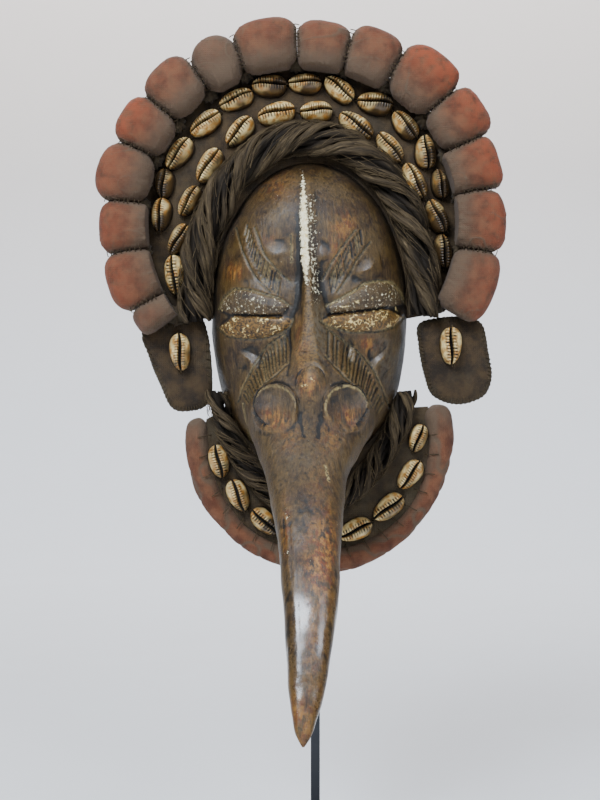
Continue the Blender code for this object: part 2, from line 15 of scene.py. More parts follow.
import bmesh
import bpy
import numpy as np
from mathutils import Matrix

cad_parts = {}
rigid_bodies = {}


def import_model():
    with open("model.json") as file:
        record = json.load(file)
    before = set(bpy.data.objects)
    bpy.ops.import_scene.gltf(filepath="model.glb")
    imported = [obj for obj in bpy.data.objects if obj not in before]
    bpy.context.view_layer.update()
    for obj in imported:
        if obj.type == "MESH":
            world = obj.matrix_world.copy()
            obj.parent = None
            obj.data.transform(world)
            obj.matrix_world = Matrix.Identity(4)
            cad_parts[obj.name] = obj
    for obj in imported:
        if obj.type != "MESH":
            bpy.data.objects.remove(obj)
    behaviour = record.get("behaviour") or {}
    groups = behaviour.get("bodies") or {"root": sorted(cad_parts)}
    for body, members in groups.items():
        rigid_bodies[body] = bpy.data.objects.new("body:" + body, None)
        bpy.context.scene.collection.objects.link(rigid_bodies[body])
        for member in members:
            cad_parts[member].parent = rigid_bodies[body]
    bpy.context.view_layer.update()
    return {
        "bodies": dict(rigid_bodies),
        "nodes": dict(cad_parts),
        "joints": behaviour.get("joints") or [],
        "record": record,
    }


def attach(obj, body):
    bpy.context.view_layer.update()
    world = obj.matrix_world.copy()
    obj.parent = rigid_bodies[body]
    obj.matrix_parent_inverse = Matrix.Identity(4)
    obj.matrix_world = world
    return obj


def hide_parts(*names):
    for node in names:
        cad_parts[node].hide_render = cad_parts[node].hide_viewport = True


log = logging.getLogger("mask")

ROOT = "root"
MM = 0.001


class Slot(Enum):
    """The record's material slots, named for each new piece."""

    WOOD = "blackened_wood"
    RED_CLOTH = "red_cloth"
    DARK_CLOTH = "dark_cloth"
    FIBRE = "plant_fibre"
    SHELL = "shell"


# Places shared with the CAD model.
RIM_Y = 0.0204  # the plane of the mask's rim and of the cloth behind it
FACE_X = -0.004
FACE_Z = 0.365
FACE_HALF_WIDTH = 0.064
FOREHEAD_RISE = 0.092
CHIN_DROP = 0.107
FACE_DEPTH = 0.058
DOME_POWER = 3.2
BROW_POWER = 2.0
JAW_POWER = 2.5
SIDE_WALL = 0.010
FRONT_WALL = 0.012
CREST_X = -0.009
CREST_Z = 0.414
BAND_RADIUS = 0.1045
BAND_SLOPE = 0.20
BAND_FORWARD = 0.0104
BAND_THICKNESS = 0.007
BAND_ENDS = (213.0, -31.0)
BAND_RIM_ENDS = (184.0, -4.0)
PAD_INNER_RADIUS = 0.1008
PAD_DEPTH = 0.033
PAD_STEP_RADIUS = 0.109
COLLAR_X = 0.002
COLLAR_Z = 0.274
COLLAR_RADIUS = 0.0795
COLLAR_ENDS = (169.5, 377.0)
COLLAR_RIM_ENDS = (217.0, 323.0)
COLLAR_FORWARD = 0.0124
COLLAR_THICKNESS = 0.006
ROLL_RADIUS = 0.0075
ROLL_FORWARD = 0.0104


# Small maths


def smooth_step(value: np.ndarray) -> np.ndarray:
    """Ease each number from 0 to 1 by a cubic, level at both ends."""
    t = np.clip(value, 0.0, 1.0)
    return t * t * (3.0 - 2.0 * t)


def signed_power(value: np.ndarray, power: float) -> np.ndarray:
    """Raise the size of each number to a power and keep its sign."""
    return np.sign(value) * np.abs(value) ** power


def smooth_minimum(first: np.ndarray, second: np.ndarray, width: float) -> np.ndarray:
    """Join two distance fields with a fillet, blended over a zone of the width in metres."""
    share = np.clip(0.5 + 0.5 * (second - first) / width, 0.0, 1.0)
    return second * (1.0 - share) + first * share - width * share * (1.0 - share)


def lattice(cells: np.ndarray, seed: int) -> np.ndarray:
    """Give a repeatable value to each whole-number place.

    Args:
        cells: whole numbers, one row of three for each place.
        seed: picks another set of values.

    Returns:
        Values from -1 to 1.
    """
    u = cells.astype(np.uint64)
    n = u[:, 0] * np.uint64(374761393) + u[:, 1] * np.uint64(668265263) + u[:, 2] * np.uint64(1274126177)
    n = (n + np.uint64(seed * 69069 + 12345)) & np.uint64(0xFFFFFFFF)
    n = ((n ^ (n >> np.uint64(13))) * np.uint64(1274126177)) & np.uint64(0xFFFFFFFF)
    n = n ^ (n >> np.uint64(16))
    return n.astype(np.float64) / 0x7FFFFFFF - 1.0


def noise(points: np.ndarray, cell: float, seed: int = 0) -> np.ndarray:
    """Smooth value noise: lattice values blended through each cell of a cubic grid.

    Args:
        points: rows of three coordinates.
        cell: size of a cell, in the points' unit.
        seed: picks another pattern.

    Returns:
        One value from -1 to 1 for each point.
    """
    scaled = points / cell + 1000.0
    base = np.floor(scaled)
    part = scaled - base
    ease = part * part * (3.0 - 2.0 * part)
    whole = base.astype(np.int64)
    total = np.zeros(len(points))
    for corner in range(8):
        step = np.array([(corner >> k) & 1 for k in range(3)])
        weight = np.prod(np.where(step == 1, ease, 1.0 - ease), axis=1)
        total += weight * lattice(whole + step, seed)
    return total


def fractal(points: np.ndarray, cell: float, octaves: int, seed: int = 0) -> np.ndarray:
    """Noise summed over finer and finer cells, each half as strong.

    Args:
        points: rows of three coordinates.
        cell: size of the largest cell.
        octaves: how many layers.
        seed: picks another pattern.

    Returns:
        One value for each point, mostly from -1 to 1.
    """
    total = np.zeros(len(points))
    for layer in range(octaves):
        total += noise(points, cell / 2**layer, seed + layer) / 2**layer
    return total / (2.0 - 0.5 ** (octaves - 1))


def to_line(points: np.ndarray, line: np.ndarray) -> tuple[np.ndarray, np.ndarray]:
    """Distance from flat points to a polyline.

    Args:
        points: rows of two coordinates.
        line: the polyline's corners, rows of two coordinates.

    Returns:
        The distance of each point, and how far along the line its nearest place is, from 0 to 1.
    """
    line = np.asarray(line, float)
    lengths = np.linalg.norm(np.diff(line, axis=0), axis=1)
    starts = np.concatenate([[0.0], np.cumsum(lengths)])
    best = np.full(len(points), np.inf)
    along = np.zeros(len(points))
    for k, (a, b) in enumerate(zip(line[:-1], line[1:])):
        t = np.clip(((points - a) @ (b - a)) / max(lengths[k] ** 2, 1e-12), 0.0, 1.0)
        gap = np.linalg.norm(points - a - t[:, None] * (b - a), axis=1)
        nearer = gap < best
        best[nearer] = gap[nearer]
        along[nearer] = (starts[k] + t * lengths[k])[nearer] / starts[-1]
    return best, along


def inside_distance(points: np.ndarray, corners: np.ndarray) -> np.ndarray:
    """Signed distance to a closed outline: positive inside, by counting edge crossings.

    Args:
        points: rows of two coordinates.
        corners: the outline, rows of two coordinates.

    Returns:
        The distance of each point.
    """
    corners = np.asarray(corners, float)
    closed = np.vstack([corners, corners[:1]])
    gap, _ = to_line(points, closed)
    inside = np.zeros(len(points), bool)
    for (ax, ay), (bx, by) in zip(closed[:-1], closed[1:]):
        crosses = (ay > points[:, 1]) != (by > points[:, 1])
        reach = ax + (points[:, 1] - ay) * (bx - ax) / (by - ay if by != ay else 1e-9)
        inside ^= crosses & (points[:, 0] < reach)
    return np.where(inside, gap, -gap)


@dataclass(frozen=True)
class Viewpoint:
    """Where the photograph was taken from; its pixels place paint and carving on the surfaces."""

    x: float = -0.0102
    y: float = -0.95
    z: float = 0.300
    focal: float = 1469.0
    width: int = 600
    height: int = 800
    sensor: float = 36.0

    def pixels(self, points: np.ndarray) -> np.ndarray:
        """Project points into the picture.

        Args:
            points: rows of x, y and z in metres.

        Returns:
            Rows of across and down, in pixels.
        """
        depth = points[:, 1] - self.y
        across = self.width / 2 + (points[:, 0] - self.x) / depth * self.focal
        down = self.height / 2 - (points[:, 2] - self.z) / depth * self.focal
        return np.stack([across, down], axis=1)

    def place(self, across: float, down: float, y: float) -> tuple[float, float]:
        """Give the x and z in metres where a pixel lies on the plane at depth y that faces the camera."""
        scale = (y - self.y) / self.focal
        return self.x + (across - self.width / 2) * scale, self.z - (down - self.height / 2) * scale

    def build(self) -> None:
        """Make the camera and give it to the scene."""
        data = bpy.data.cameras.new("photo_view")
        data.lens = self.focal * self.sensor / self.height
        data.sensor_width = self.sensor
        data.clip_start = 0.01
        camera = bpy.data.objects.new("photo_view", data)
        camera.location = (self.x, self.y, self.z)
        camera.rotation_euler = (math.pi / 2, 0.0, 0.0)
        bpy.context.scene.collection.objects.link(camera)
        bpy.context.scene.camera = camera


VIEW = Viewpoint()


# Mesh making


def grid_faces(rows: int, columns: int, closed: bool) -> np.ndarray:
    """Quads over a grid of points.

    Args:
        rows: number of rows of points.
        columns: points in a row.
        closed: whether each row's last point joins its first.

    Returns:
        Rows of four point numbers.
    """
    i = np.arange(rows - 1)[:, None]
    j = np.arange(columns if closed else columns - 1)[None, :]
    nxt = (j + 1) % columns
    corners = (i * columns + j, i * columns + nxt, (i + 1) * columns + nxt, (i + 1) * columns + j)
    return np.stack(np.broadcast_arrays(*corners), -1).reshape(-1, 4)


def new_mesh(name: str, points: np.ndarray, faces: np.ndarray) -> bpy.types.Mesh:
    """Make a mesh from whole arrays.

    Args:
        name: the mesh's name.
        points: rows of x, y and z.
        faces: rows of point numbers, all with the same number of corners.

    Returns:
        The mesh, shaded smooth.
    """
    mesh = bpy.data.meshes.new(name)
    mesh.vertices.add(len(points))
    mesh.vertices.foreach_set("co", np.asarray(points, np.float32).ravel())
    mesh.loops.add(faces.size)
    mesh.loops.foreach_set("vertex_index", np.asarray(faces, np.int32).ravel())
    mesh.polygons.add(len(faces))
    mesh.polygons.foreach_set("loop_start", np.arange(0, faces.size, faces.shape[1], dtype=np.int32))
    mesh.update(calc_edges=True)
    mesh.shade_smooth()
    return mesh


def coordinates(mesh: bpy.types.Mesh) -> np.ndarray:
    """Read a mesh's points.

    Args:
        mesh: the mesh.

    Returns:
        Rows of x, y and z.
    """
    flat = np.zeros(len(mesh.vertices) * 3, np.float32)
    mesh.vertices.foreach_get("co", flat)
    return flat.reshape(-1, 3).astype(float)


def set_coordinates(mesh: bpy.types.Mesh, points: np.ndarray) -> None:
    """Move a mesh's points."""
    mesh.vertices.foreach_set("co", np.asarray(points, np.float32).ravel())
    mesh.update()


def normals(mesh: bpy.types.Mesh) -> np.ndarray:
    """Read the direction that each point faces.

    Args:
        mesh: the mesh.

    Returns:
        Rows of unit directions.
    """
    flat = np.zeros(len(mesh.vertices) * 3, np.float32)
    mesh.vertex_normals.foreach_get("vector", flat)
    return flat.reshape(-1, 3).astype(float)


def set_attribute(mesh: bpy.types.Mesh, name: str, values: np.ndarray) -> None:
    """Store one number at each point, for the finishes to read."""
    layer = mesh.attributes.new(name, "FLOAT", "POINT")
    layer.data.foreach_set("value", np.asarray(values, np.float32))


def face_out(mesh: bpy.types.Mesh) -> None:
    """Turn every face of a closed mesh outwards.

    Args:
        mesh: the mesh.
    """
    bm = bmesh.new()
    bm.from_mesh(mesh)
    bmesh.ops.recalc_face_normals(bm, faces=bm.faces)
    bm.to_mesh(mesh)
    bm.free()


def modified(mesh: bpy.types.Mesh, kind: str, **settings: object) -> bpy.types.Mesh:
    """Apply one modifier to a mesh.

    Args:
        mesh: the mesh.
        kind: the modifier's type.
        settings: the modifier's own properties.

    Returns:
        The new mesh, shaded smooth.
    """
    holder = bpy.data.objects.new("shaping", mesh)
    bpy.context.scene.collection.objects.link(holder)
    modifier = holder.modifiers.new("shaping", kind)
    for key, value in settings.items():
        setattr(modifier, key, value)
    result = bpy.data.meshes.new_from_object(holder.evaluated_get(bpy.context.evaluated_depsgraph_get()))
    bpy.data.objects.remove(holder)
    result.shade_smooth()
    return result


def join_parts(name: str, parts: list[tuple[np.ndarray, np.ndarray]]) -> tuple[bpy.types.Mesh, np.ndarray]:
    """Put several point-and-quad sets into one mesh.

    Args:
        name: the mesh's name.
        parts: pairs of points and quads.

    Returns:
        The mesh, and the number of the part that each point came from.
    """
    points, faces, owner, offset = [], [], [], 0
    for number, (own_points, own_faces) in enumerate(parts):
        points.append(own_points)
        faces.append(own_faces + offset)
        owner.append(np.full(len(own_points), number))
        offset += len(own_points)
    return new_mesh(name, np.concatenate(points), np.concatenate(faces)), np.concatenate(owner)


def tube(
    route: np.ndarray, radii: np.ndarray, sides: int, front: np.ndarray | None = None
) -> tuple[np.ndarray, np.ndarray]:
    """Sweep rings of points along a route, with both ends drawn to a point.

    Each ring stands square to the route. Its first spoke points away from a reference direction, so
    the rings don't twist on routes that stay near one plane.

    Args:
        route: rows of x, y and z.
        radii: one radius for each row, or a row of radii by side.
        sides: points in a ring.
        front: the reference direction; -Y if left out.

    Returns:
        Points and quads; the quads at the two ends share their ring's middle point.
    """
    front = np.array([0.0, -1.0, 0.0]) if front is None else front
    along = np.gradient(route, axis=0)
    along /= np.linalg.norm(along, axis=1)[:, None]
    side = np.cross(along, front)
    side /= np.maximum(np.linalg.norm(side, axis=1), 1e-9)[:, None]
    up = np.cross(side, along)
    turn = 2 * math.pi * np.arange(sides) / sides
    radii = np.broadcast_to(np.asarray(radii, float).reshape(len(route), -1), (len(route), sides))
    spokes = np.cos(turn)[None, :, None] * side[:, None, :] + np.sin(turn)[None, :, None] * up[:, None, :]
    rings = route[:, None, :] + radii[..., None] * spokes
    caps = [np.repeat(route[k][None, None, :], sides, axis=1) for k in (0, -1)]
    rings = np.concatenate([caps[0], rings, caps[1]])
    return rings.reshape(-1, 3), grid_faces(len(rings), sides, True)


def add_piece(
    name: str, mesh: bpy.types.Mesh, finish: bpy.types.Material, slot: Slot, *nodes: str
) -> bpy.types.Object:
    """Add a piece of the model that rides on the one body.

    Args:
        name: the piece's name.
        mesh: its mesh, in the row frame.
        finish: its material.
        slot: the record's slot that the finish belongs to; not used.
        nodes: the CAD nodes that the piece stands for.

    Returns:
        The new object.
    """
    mesh.materials.clear()
    mesh.materials.append(finish)
    piece = bpy.data.objects.new(name, mesh)
    bpy.context.scene.collection.objects.link(piece)
    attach(piece, ROOT)
    if nodes:
        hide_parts(*nodes)
    log.info("%s: %d faces", name, len(mesh.polygons))
    return piece


# Finishes


def linear(code: str) -> tuple[float, float, float, float]:
    """Turn an sRGB hex colour into the linear values that shaders take.

    Args:
        code: six hex digits.

    Returns:
        Red, green, blue and a full alpha.
    """
    parts = [int(code[k : k + 2], 16) / 255 for k in (0, 2, 4)]
    values = [p / 12.92 if p <= 0.04045 else ((p + 0.055) / 1.055) ** 2.4 for p in parts]
    return (*values, 1.0)


def per_metre(millimetres: float) -> float:
    """Turn a pattern's size in millimetres into a texture scale, in features a metre."""
    return 1000.0 / millimetres


class Node(Enum):
    """Kinds of node: the type, the output that is read, the inputs in order, and fixed settings."""

    PLACE = ("ShaderNodeTexCoord", "Object", (), {})
    STRETCH = ("ShaderNodeMapping", "Vector", ("Scale", "Vector"), {})
    NOISE = ("ShaderNodeTexNoise", "Fac", ("Scale", "Detail", "Roughness", "Vector"), {})
    CRACKS = ("ShaderNodeTexVoronoi", "Distance", ("Scale", "Vector"), {"feature": "DISTANCE_TO_EDGE"})
    WARP = ("ShaderNodeTexWave", "Fac", ("Scale", "Distortion", "Vector"), {"bands_direction": "X"})
    WEFT = ("ShaderNodeTexWave", "Fac", ("Scale", "Distortion", "Vector"), {"bands_direction": "Z"})
    STORED = ("ShaderNodeAttribute", "Fac", (), {})
    JOIN = ("ShaderNodeCombineXYZ", "Vector", ("X", "Y", "Z"), {})
    HEIGHT = ("ShaderNodeSeparateXYZ", "Z", ("Vector",), {})
    STEP = (
        "ShaderNodeMapRange", "Result", ("Value", "From Min", "From Max"),
        {"interpolation_type": "SMOOTHSTEP"}
    )
    ADD = ("ShaderNodeMath", 0, (0, 1), {"operation": "ADD"})
    SUBTRACT = ("ShaderNodeMath", 0, (0, 1), {"operation": "SUBTRACT"})
    MULTIPLY = ("ShaderNodeMath", 0, (0, 1), {"operation": "MULTIPLY"})
    MAXIMUM = ("ShaderNodeMath", 0, (0, 1), {"operation": "MAXIMUM"})
    BLEND = ("ShaderNodeMix", 2, (0, 6, 7), {"data_type": "RGBA"})
    RELIEF = ("ShaderNodeBump", "Normal", ("Height", "Distance", "Strength", "Normal"), {})


class Tree:
    """One material's nodes."""

    def __init__(self, name: str) -> None:
        """Make a material with its shader and the object's own coordinates.

        Args:
            name: the material's name.
        """
        self.material = bpy.data.materials.new(name)
        self.material.use_nodes = True
        self.nodes = self.material.node_tree.nodes
        self.shader = self.nodes["Principled BSDF"]
        self.place = self.add(Node.PLACE)

    def put(self, socket: bpy.types.NodeSocket, value: object) -> None:
        """Give an input a constant, or link it to another node's output.

        Args:
            socket: the input.
            value: the constant or the output.
        """
        if isinstance(value, bpy.types.NodeSocket):
            self.material.node_tree.links.new(value, socket)
        else:
            socket.default_value = value

    def add(self, kind: Node, *values: object, **settings: object) -> bpy.types.NodeSocket:
        """Add one node with its settings and links; a pattern with no place reads Object coordinates.

        Args:
            kind: which node.
            values: constants or outputs for its inputs, in the kind's order.
            settings: further properties of the node.

        Returns:
            The output that the kind names.
        """
        type_name, output, sockets, fixed = kind.value
        node = self.nodes.new(type_name)
        for key, value in {**fixed, **settings}.items():
            setattr(node, key, value)
        given = dict(zip(sockets, values))
        if "Vector" in sockets:
            given.setdefault("Vector", self.place)
        for key, value in given.items():
            self.put(node.inputs[key], value)
        return node.outputs[output]

    def finish(self, **inputs: object) -> bpy.types.Material:
        """Set the shader's inputs.

        Args:
            inputs: constants or outputs by the input's name, with underscores for spaces.

        Returns:
            The material.
        """
        for key, value in inputs.items():
            self.put(self.shader.inputs[key.replace("_", " ")], value)
        return self.material


@dataclass(frozen=True)
class CarvedWood:
    """Oiled and smoke-blackened hardwood, cut with an adze and a knife.

    Dirt and painted shade stay near black in every hollow, handling rubs the high places to gold and
    orange, and white clay is left on the brow line and the eyelids. Pale dust and painted highlights line
    the knife cuts, and painted highlights the cups' upper rims. Old oil leaves some facets glossy.
    """

    name: str = "hardwood_carved_and_blackened"
    black: str = "0e0a06"
    brown: str = "2e1f10"
    olive: str = "47361b"
    dusty: str = "715730"
    grey: str = "5c5444"
    gold: str = "9c6a2b"
    ember: str = "6b3312"
    clay: str = "f7eecb"
    gilt: str = "84602c"
    cream: str = "dcc382"
    grain_size: float = 1.6
    speck_size: float = 1.6
    blotch_size: float = 4.5
    cloud_size: float = 16.0
    streak_size: float = 2.6
    crack_size: float = 2.3

    def build(self) -> bpy.types.Material:
        """Layer grain, dust, wear, clay, dirt with painted shade, and pale dust with painted highlights, by
        the mask's stored numbers.

        Returns:
            The material.
        """
        t = Tree(self.name)
        add = t.add
        grain = add(Node.NOISE, per_metre(self.grain_size), 6.0, 0.65, add(Node.STRETCH, (1.0, 1.0, 0.16)))
        cloud = add(Node.NOISE, per_metre(self.cloud_size), 6.0, 0.6)
        specks = add(Node.NOISE, per_metre(self.speck_size), 4.0, 0.7)
        blotch = add(Node.NOISE, per_metre(self.blotch_size), 5.0, 0.65)
        speck_lift = add(Node.SUBTRACT, specks, 0.5)
        blotch_lift = add(Node.SUBTRACT, blotch, 0.5)
        black, dusty, cream = linear(self.black), linear(self.dusty), linear(self.cream)

        colour = add(Node.BLEND, add(Node.STEP, cloud, 0.36, 0.60), linear(self.brown), linear(self.olive))
        colour = add(Node.BLEND, add(Node.STEP, blotch, 0.55, 0.75), colour, black)
        pale_grain = add(Node.MULTIPLY, add(Node.STEP, grain, 0.50, 0.72), 0.45)
        colour = add(Node.BLEND, pale_grain, colour, dusty)
        dark_grain = add(Node.MULTIPLY, add(Node.STEP, grain, 0.50, 0.34), 0.75)
        colour = add(Node.BLEND, dark_grain, colour, black)
        ash = add(Node.STEP, add(Node.NOISE, per_metre(3.0), 5.0, 0.65), 0.35, 0.62)
        ash = add(Node.MULTIPLY, add(Node.STORED, attribute_name="ashen"), ash)
        colour = add(Node.BLEND, ash, colour, linear(self.grey))
        rubbed = add(Node.STORED, attribute_name="rubbed")
        rubbed = add(Node.MULTIPLY, rubbed, add(Node.STEP, specks, 0.38, 0.62))
        colour = add(Node.BLEND, rubbed, colour, dusty)
        streaks = add(Node.NOISE, per_metre(self.streak_size), 6.0, 0.7, add(Node.STRETCH, (1.0, 1.0, 0.13)))
        worn = add(Node.STORED, attribute_name="worn")
        worn = add(Node.MULTIPLY, worn, add(Node.STEP, streaks, 0.38, 0.60), use_clamp=True)
        warm = add(Node.BLEND, add(Node.STEP, blotch, 0.42, 0.58), linear(self.ember), linear(self.gold))
        colour = add(Node.BLEND, worn, colour, warm)
        # Dirt and painted shade: near black in the hollows, towards the rim, in the right cup and inside.
        dirt_and_shade = add(Node.STORED, attribute_name="grime_and_shade")
        dirt_and_shade = add(Node.ADD, dirt_and_shade, add(Node.MULTIPLY, blotch_lift, 0.4))
        colour = add(Node.BLEND, add(Node.STEP, dirt_and_shade, 0.12, 0.75), colour, black)

        lid = add(Node.STORED, attribute_name="lid")
        lid = add(Node.ADD, lid, add(Node.MULTIPLY, blotch_lift, 5.0))
        ochre = add(Node.MULTIPLY, add(Node.STEP, lid, -0.4, 1.2), add(Node.STEP, specks, 0.44, 0.56))
        colour = add(Node.BLEND, add(Node.MULTIPLY, ochre, 0.7), colour, linear(self.gilt))
        crackle = add(Node.CRACKS, per_metre(self.crack_size))
        small = add(Node.STEP, add(Node.NOISE, per_metre(2.8), 4.0, 0.7), 0.45, 0.58)
        large = add(Node.STEP, add(Node.NOISE, per_metre(7.0), 3.0, 0.6), 0.42, 0.58)
        veins = add(Node.MULTIPLY, add(Node.STEP, crackle, 0.17, 0.05), add(Node.MULTIPLY, small, large))
        veins = add(Node.MULTIPLY, veins, add(Node.STEP, lid, 0.0, 1.5))
        splash = add(Node.MAXIMUM, veins, add(Node.STORED, attribute_name="splash"), use_clamp=True)
        splash = add(Node.STEP, add(Node.ADD, splash, speck_lift), 0.42, 0.60)
        colour = add(Node.BLEND, splash, colour, cream)

        edge = add(Node.STORED, attribute_name="clay")
        edge = add(Node.ADD, edge, add(Node.MULTIPLY, blotch_lift, 4.5))
        edge = add(Node.ADD, edge, add(Node.MULTIPLY, speck_lift, 9.0))
        bits = add(Node.STORED, attribute_name="bits")
        bits = add(Node.STEP, add(Node.ADD, bits, add(Node.MULTIPLY, speck_lift, 3.2)), 0.62, 0.80)
        white = add(Node.MAXIMUM, add(Node.STEP, edge, 0.0, 1.0), bits, use_clamp=True)
        chalk = add(Node.BLEND, add(Node.STEP, specks, 0.35, 0.60), cream, linear(self.clay))
        colour = add(Node.BLEND, white, colour, chalk)
        broken = add(Node.STEP, add(Node.NOISE, per_metre(2.2), 4.0, 0.7), 0.36, 0.56)
        # Pale dust and painted highlights: cream along the knife cuts' edges and the cups' upper rims.
        scratch_and_highlight = add(Node.STORED, attribute_name="scratch_and_highlight")
        scratch_and_highlight = add(Node.MULTIPLY, scratch_and_highlight, broken, use_clamp=True)
        colour = add(Node.BLEND, add(Node.MULTIPLY, scratch_and_highlight, 0.75), colour, cream)

        polish = add(Node.STORED, attribute_name="polish")
        rough = add(Node.SUBTRACT, 0.66, add(Node.MULTIPLY, polish, 0.44))
        rough = add(Node.ADD, rough, add(Node.MULTIPLY, speck_lift, 0.25))
        rough = add(Node.ADD, rough, add(Node.MULTIPLY, white, 0.25), use_clamp=True)
        open_grain = add(Node.SUBTRACT, 1.0, polish, use_clamp=True)
        normal = add(Node.RELIEF, grain, 0.6 * MM, open_grain)
        normal = add(Node.RELIEF, specks, 0.5 * MM, open_grain, normal)
        normal = add(Node.RELIEF, white, 0.3 * MM, 1.0, normal)
        gloss = add(Node.MULTIPLY, add(Node.STEP, polish, 0.66, 0.92), 0.8)
        return t.finish(
            Base_Color=colour, Roughness=rough, Normal=normal,
            Specular_IOR_Level=0.45, Coat_Weight=gloss, Coat_Roughness=0.16,
        )


@dataclass(frozen=True)
class StuffedCotton:
    """Closely woven cotton, rubbed with dirt and faded, with painted shade at its seams and in its creases;
    the stored tint moves it to red or to brown.

    The weave is drawn about as coarse as the picture can show.
    """

    name: str
    deep: str
    mid: str
    bright: str
    soil_and_shade: str
    weave_size: float = 0.7
    cloud_size: float = 9.0

    def build(self) -> bpy.types.Material:
        """Blend the colours by the stored tint and by the stored soil and painted shade, with a plain weave
        in relief.

        Returns:
            The material.
        """
        t = Tree(self.name)
        add, soil_and_shade = t.add, linear(self.soil_and_shade)
        cloud = add(Node.NOISE, per_metre(self.cloud_size), 5.0, 0.6)
        colour = add(Node.BLEND, add(Node.STEP, cloud, 0.3, 0.7), linear(self.deep), linear(self.mid))
        faded = add(Node.STEP, add(Node.NOISE, per_metre(5.0), 5.0, 0.55), 0.25, 0.6)
        tint = add(Node.MULTIPLY, add(Node.STORED, attribute_name="tint"), faded)
        colour = add(Node.BLEND, tint, colour, linear(self.bright))
        # Soil and painted shade, by the stored number and a little unevenness.
        uneven = add(Node.SUBTRACT, add(Node.NOISE, per_metre(3.0), 6.0, 0.7), 0.5)
        dirt_and_shade = add(Node.ADD, add(Node.STORED, attribute_name="soil_and_shade"), add(Node.MULTIPLY, uneven, 0.5))
        colour = add(Node.BLEND, add(Node.STEP, dirt_and_shade, 0.25, 0.95), colour, soil_and_shade)
        fine = add(Node.NOISE, per_metre(self.weave_size), 2.0, 0.55)
        colour = add(Node.BLEND, add(Node.MULTIPLY, add(Node.STEP, fine, 0.5, 0.8), 0.25), colour, soil_and_shade)
        threads = per_metre(self.weave_size) / 6.3
        weave = add(Node.MULTIPLY, add(Node.WARP, threads, 1.5), add(Node.WEFT, threads, 1.5))
        normal = add(Node.RELIEF, weave, 0.12 * MM, 1.0)
        creases = add(Node.NOISE, per_metre(2.5), 5.0, 0.65)
        normal = add(Node.RELIEF, creases, 0.5 * MM, 1.0, normal)
        return t.finish(
            Base_Color=colour, Roughness=0.86, Normal=normal,
            Sheen_Weight=0.04, Sheen_Roughness=0.6, Specular_IOR_Level=0.3,
        )


@dataclass(frozen=True)
class TwistedFibre:
    """Dry plant fibre, dark with soot and with painted shade towards the rope's core, and paler on its raised
    streaks where it is rubbed and where highlights are painted.
    """

    name: str = "plant_fibre_twisted"
    dark: str = "130d07"
    mid: str = "3b3020"
    pale: str = "78664a"

    def build(self) -> bpy.types.Material:
        """Streak the colour along the strands, which store how far round and along each point is.

        Returns:
            The material.
        """
        t = Tree(self.name)
        add, pale = t.add, linear(self.pale)
        around, along, strand = (
            (add(Node.STORED, attribute_name=key) for key in ("around", "along", "strand"))
        )
        streak = add(Node.NOISE, 1.0, 5.0, 0.65, add(Node.JOIN, around, along, strand))
        colour = add(Node.BLEND, add(Node.STEP, streak, 0.30, 0.55), linear(self.dark), linear(self.mid))
        cloud = add(Node.STEP, add(Node.NOISE, per_metre(6.0), 4.0, 0.55), 0.35, 0.6)
        # Rubbed fibre and a painted highlight: paler on the raised streaks.
        rubbed = add(Node.MULTIPLY, add(Node.STEP, streak, 0.52, 0.74), cloud)
        colour = add(Node.BLEND, rubbed, colour, pale)
        bleach = add(Node.STORED, attribute_name="bleach")
        bleach = add(Node.MULTIPLY, bleach, add(Node.STEP, streak, 0.35, 0.6))
        colour = add(Node.BLEND, bleach, colour, pale)
        # Painted shade: darker towards the rope's core, between the yarns.
        grime_and_shade = add(Node.MULTIPLY, add(Node.STORED, attribute_name="grime_and_shade"), 0.92)
        colour = add(Node.BLEND, grime_and_shade, colour, linear(self.dark))
        normal = add(Node.RELIEF, streak, 0.7 * MM, 1.0)
        return t.finish(Base_Color=colour, Roughness=0.75, Normal=normal, Specular_IOR_Level=0.22)


@dataclass(frozen=True)
class CowrieShell:
    """Old cowrie shell: ivory and honey enamel with dark dirt in the slit, darker towards its base with dirt
    and painted shade, and painted shade on its lower right side.
    """

    name: str = "cowrie_shell_aged"
    ivory: str = "edd393"
    honey: str = "ad7834"
    brown: str = "46351f"
    dirt_and_shade: str = "100c08"

    def build(self) -> bpy.types.Material:
        """Colour by the stored slit and age, which also hold dirt and painted shade towards the base and
        painted shade on the lower right side.

        Returns:
            The material.
        """
        t = Tree(self.name)
        add = t.add
        patch = add(Node.NOISE, per_metre(4.0), 4.0, 0.55)
        colour = add(Node.BLEND, add(Node.STEP, patch, 0.35, 0.65), linear(self.honey), linear(self.ivory))
        lift = add(Node.MULTIPLY, add(Node.SUBTRACT, patch, 0.5), 0.8)
        # The stored age holds painted shade on the lower right side and towards the base.
        age = add(Node.ADD, add(Node.STORED, attribute_name="age"), lift)
        colour = add(Node.BLEND, add(Node.STEP, age, 0.3, 0.95), colour, linear(self.brown))
        slit = add(Node.STORED, attribute_name="slit")
        colour = add(Node.BLEND, slit, colour, linear(self.dirt_and_shade))
        rough = add(Node.ADD, 0.28, add(Node.MULTIPLY, slit, 0.5))
        normal = add(Node.RELIEF, add(Node.NOISE, per_metre(1.5), 3.0, 0.55), 0.12 * MM, 1.0)
        return t.finish(Base_Color=colour, Roughness=rough, Normal=normal, Specular_IOR_Level=0.5)


